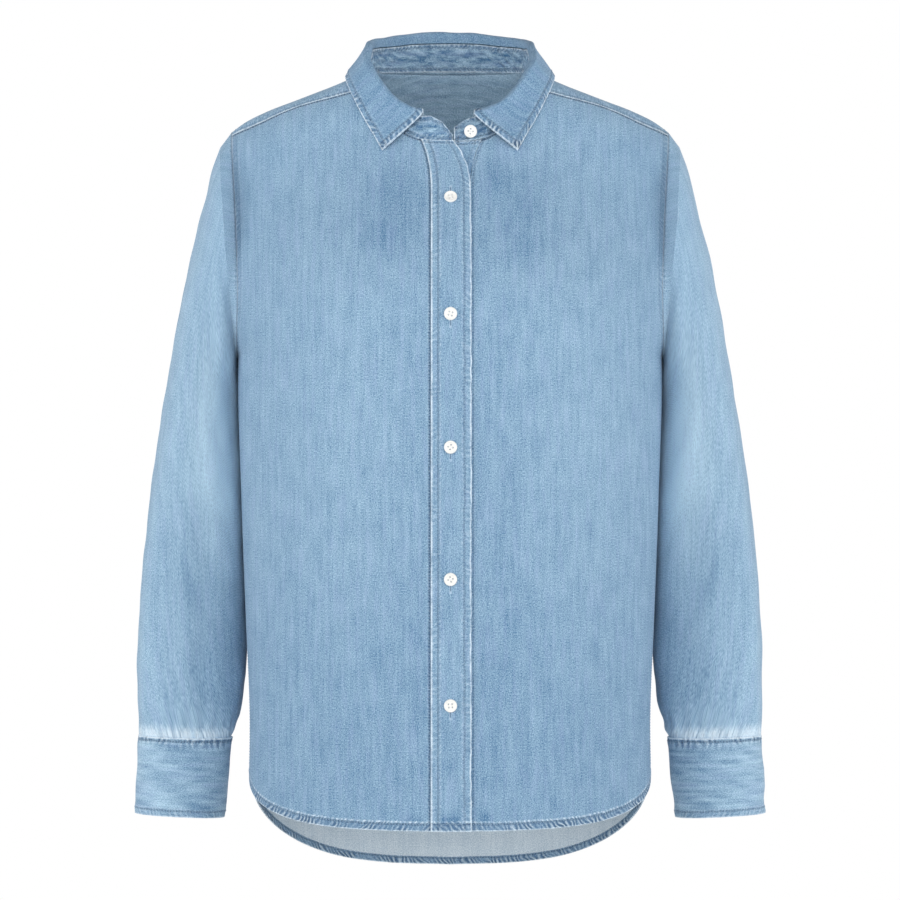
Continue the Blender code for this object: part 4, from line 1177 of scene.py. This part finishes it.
def makeButton(name, seat, normal, turn):
    basis = frameAt(normal, turn)
    disc = makeMesh("disc", *turnedDisc(button["steps"]), resin)
    hole = button["holeOut"] / math.sqrt(2)
    corners = [(a * hole, b * hole) for a, b in ((1, 1), (-1, 1), (-1, -1), (1, -1))]
    pins = [tubeAlong(((x, y, -1), (x, y, 4)), button["holeRadius"], 12) for x, y in corners]
    cutter = makeMesh("pins", *joinedGroups(pins), resin)
    cut = disc.modifiers.new("holes", "BOOLEAN")
    cut.operation, cut.object, cut.solver = "DIFFERENCE", cutter, "EXACT"
    made = bpy.data.meshes.new_from_object(disc.evaluated_get(bpy.context.evaluated_depsgraph_get()))
    bpy.data.objects.remove(disc)
    bpy.data.objects.remove(cutter)
    own = np.array([v.co[:] for v in made.vertices]) / mm
    faces = [tuple(polygon.vertices) for polygon in made.polygons]
    piece = makeMesh("resin_" + name, own @ basis.T + seat, faces, resin, 35)
    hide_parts(name)
    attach(piece, "root")
    strands = []
    top = button["thick"] * button["profile"][-1][1]
    sunk, bent, crown = top - strand["sunk"], top - strand["bent"], top + strand["arch"]
    for a, b in ((0, 2), (1, 3)) if turn > 30 else ((0, 1), (3, 2)):  # sewn across or in two bars
        for shift in (-strand["apart"], strand["apart"]):
            (x0, y0), (x1, y1) = corners[a], corners[b]
            line = [(x0, y0 + shift, sunk), (x0, y0 + shift, bent),
                    ((x0 + x1) / 2, (y0 + y1) / 2 + shift, crown),
                    (x1, y1 + shift, bent), (x1, y1 + shift, sunk)]
            verts, faces = tubeAlong(line, strand["radius"])
            strands.append((verts @ basis.T + seat, faces))
    return strands


def makeButtonhole(seat, normal, seed):
    # satin stitches side by side round an upright slit, with a bar at both ends
    basis = frameAt(normal)
    draw = np.random.default_rng(seed)
    endsDiffer, leanDiffers = buttonhole["uneven"]
    half, long, count = buttonhole["wide"] / 2, buttonhole["long"], buttonhole["count"]
    stitches = []
    for side in (-1, 1):
        for k in range(count):
            y = (k / (count - 1) - 0.5) * long
            end = side * half + draw.normal(0, endsDiffer)
            lean = draw.normal(0, leanDiffers)
            line = ((side * 0.34, y, 0.05), (side * 0.7, y + lean, 0.34), (end, y + lean, 0.02))
            stitches.append(tubeAlong(line, buttonhole["thread"], 5))
    for end in (-1, 1):
        for k in range(buttonhole["bars"]):
            y, wide = end * (long / 2 + buttonhole["barStep"] * k), half * (1.05 - 0.08 * k)
            line = ((-wide, y, 0.02), (0, y, 0.42), (wide, y, 0.02))
            stitches.append(tubeAlong(line, buttonhole["barThread"], 5))
    return [(verts @ basis.T + seat, faces) for verts, faces in stitches]


def makeSlitShadow(seat, normal):
    # a dark tube of painted shadow in the cut between the two rows of buttonhole stitches
    half = buttonhole["long"] / 2 - 0.4
    verts, faces = tubeAlong(((0, -half, 0), (0, 0, 0.02), (0, half, 0)), buttonhole["barThread"])
    return verts @ frameAt(normal).T + seat, faces


def makeButtons():
    thread, holes, slitShadows = [], [], []
    for index, z in enumerate(button["z"]):
        point = onTorso(button["x"], z, -1)
        normal = outOfTorso(point, np.array(-1))
        name, turn = f"button_{index + 1}", button["turns"][index]
        thread += makeButton(name, point + button["seatUp"] * normal, normal, turn)
        at = onTorso(button["x"], z + buttonhole["shift"][min(index, 1)], -1) + buttonhole["out"] * normal
        holes += makeButtonhole(at, normal, 70 + index)
        slitShadows.append(makeSlitShadow(at, normal))
    points, inward, _ = standPoints(97, 4)
    column = int(np.argmin(np.abs(points[60:, 0, 0] - button["standX"]))) + 60
    normal = -inward[column, 0]
    seat = points[column, 0] + (0, 0, button["standUp"]) + button["standOut"] * normal
    thread += makeButton("stand_button", seat, normal, button["standTurn"])
    for side, sign in (("right", -1), ("left", 1)):
        count = cuff["solidColumns"]
        grid = cuffPoints(np.linspace(0, (count - 1) / count, count), np.arange(3.0), sign)
        at, inward = grid[button["cuffColumn"], 1], gridInward(grid, False)[button["cuffColumn"], 1]
        seat = at - button["cuffOut"] * inward
        thread += makeButton("cuff_button_" + side, seat, -inward, button["cuffTurn"])
        at = at - buttonhole["cuffOut"] * inward
        holes += makeButtonhole(at, -inward, 80 + sign)
        slitShadows.append(makeSlitShadow(at, -inward))
    for name, groups, finish in (
            ("buttonThread", thread, "polyesterThread_white"),
            ("buttonholeStitches", holes, "polyesterThread_pale"),
            ("buttonholeSlitShadows", slitShadows, "cutEdge_shaded"),
            ("sewingThread", sewing, "polyesterThread_blue")):
        piece = makeMesh(name, *joinedGroups(groups), threads[finish])
        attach(piece, "root")


makeButtons()
print("buttons made")


# floor, light and camera

studio = {
    "floorSize": 7.0, "floorHeight": -1.42, "floor": ("#EDEDED", "#F4F4F3"), "floorRoughness": 0.9,
    "sky": "#FFFFFF", "ceiling": "#A8A8A8", "fades": (0.15, 0.8),  # upwards, as a share of the sky's height
    "lights": (  # name, place, size, power in watts
        ("softLeft", (-2.6, -1.6, -0.1), 1.8, 26.0),
        ("softRight", (2.6, -1.6, -0.1), 1.8, 26.0),
        ("softFront", (0.0, -3.3, 0.75), 1.4, 24.0),
    ),
    "aim": (0, 0, -0.33),
    "cameraAt": (0.0, -3.6, -0.3285), "lens": 160, "sensor": 36,
}


def makeStudio():
    bpy.ops.mesh.primitive_plane_add(size=studio["floorSize"], location=(0, 0, studio["floorHeight"]))
    floor = bpy.context.object
    floor.name = "studioFloor"
    material, add, setSurface = newMaterial("mattFloorPaint")  # rolled on: flat, with faint clouds
    clouds = add("TexNoise", {"Vector": add("TexCoord", output="Object"), "Scale": 3.0})
    darker, paler = (linear(shade) for shade in studio["floor"])
    setSurface({"Base Color": add("Mix", {0: clouds, 6: darker, 7: paler}, output=2),
                "Roughness": studio["floorRoughness"]})
    floor.data.materials.append(material)
    world = bpy.data.worlds.new("whiteStudio")
    world.use_nodes = True
    add = partial(addNode, world.node_tree)
    up = add("SeparateXYZ", add("TexCoord", output="Generated"), output=2)
    share = add("MapRange", up, *studio["fades"])
    sky = add("Mix", {0: share, 6: linear(studio["sky"]), 7: linear(studio["ceiling"])}, output=2)
    setInputs(world.node_tree, world.node_tree.nodes["Background"], {"Color": sky})
    bpy.context.scene.world = world
    for name, place, size, power in studio["lights"]:
        light = bpy.data.lights.new(name, "AREA")
        light.size, light.energy = size, power
        lamp = bpy.data.objects.new(name, light)
        lamp.location = place
        lamp.rotation_euler = (Vector(studio["aim"]) - Vector(place)).to_track_quat("-Z", "Y").to_euler()
        bpy.context.collection.objects.link(lamp)
    lens = bpy.data.cameras.new("studioCamera")
    lens.lens, lens.sensor_width = studio["lens"], studio["sensor"]
    camera = bpy.data.objects.new("studioCamera", lens)
    camera.location, camera.rotation_euler = studio["cameraAt"], (math.pi / 2, 0, 0)
    bpy.context.collection.objects.link(camera)
    bpy.context.scene.camera = camera
    bpy.context.scene.view_settings.view_transform = "Standard"


makeStudio()
print("studio made")
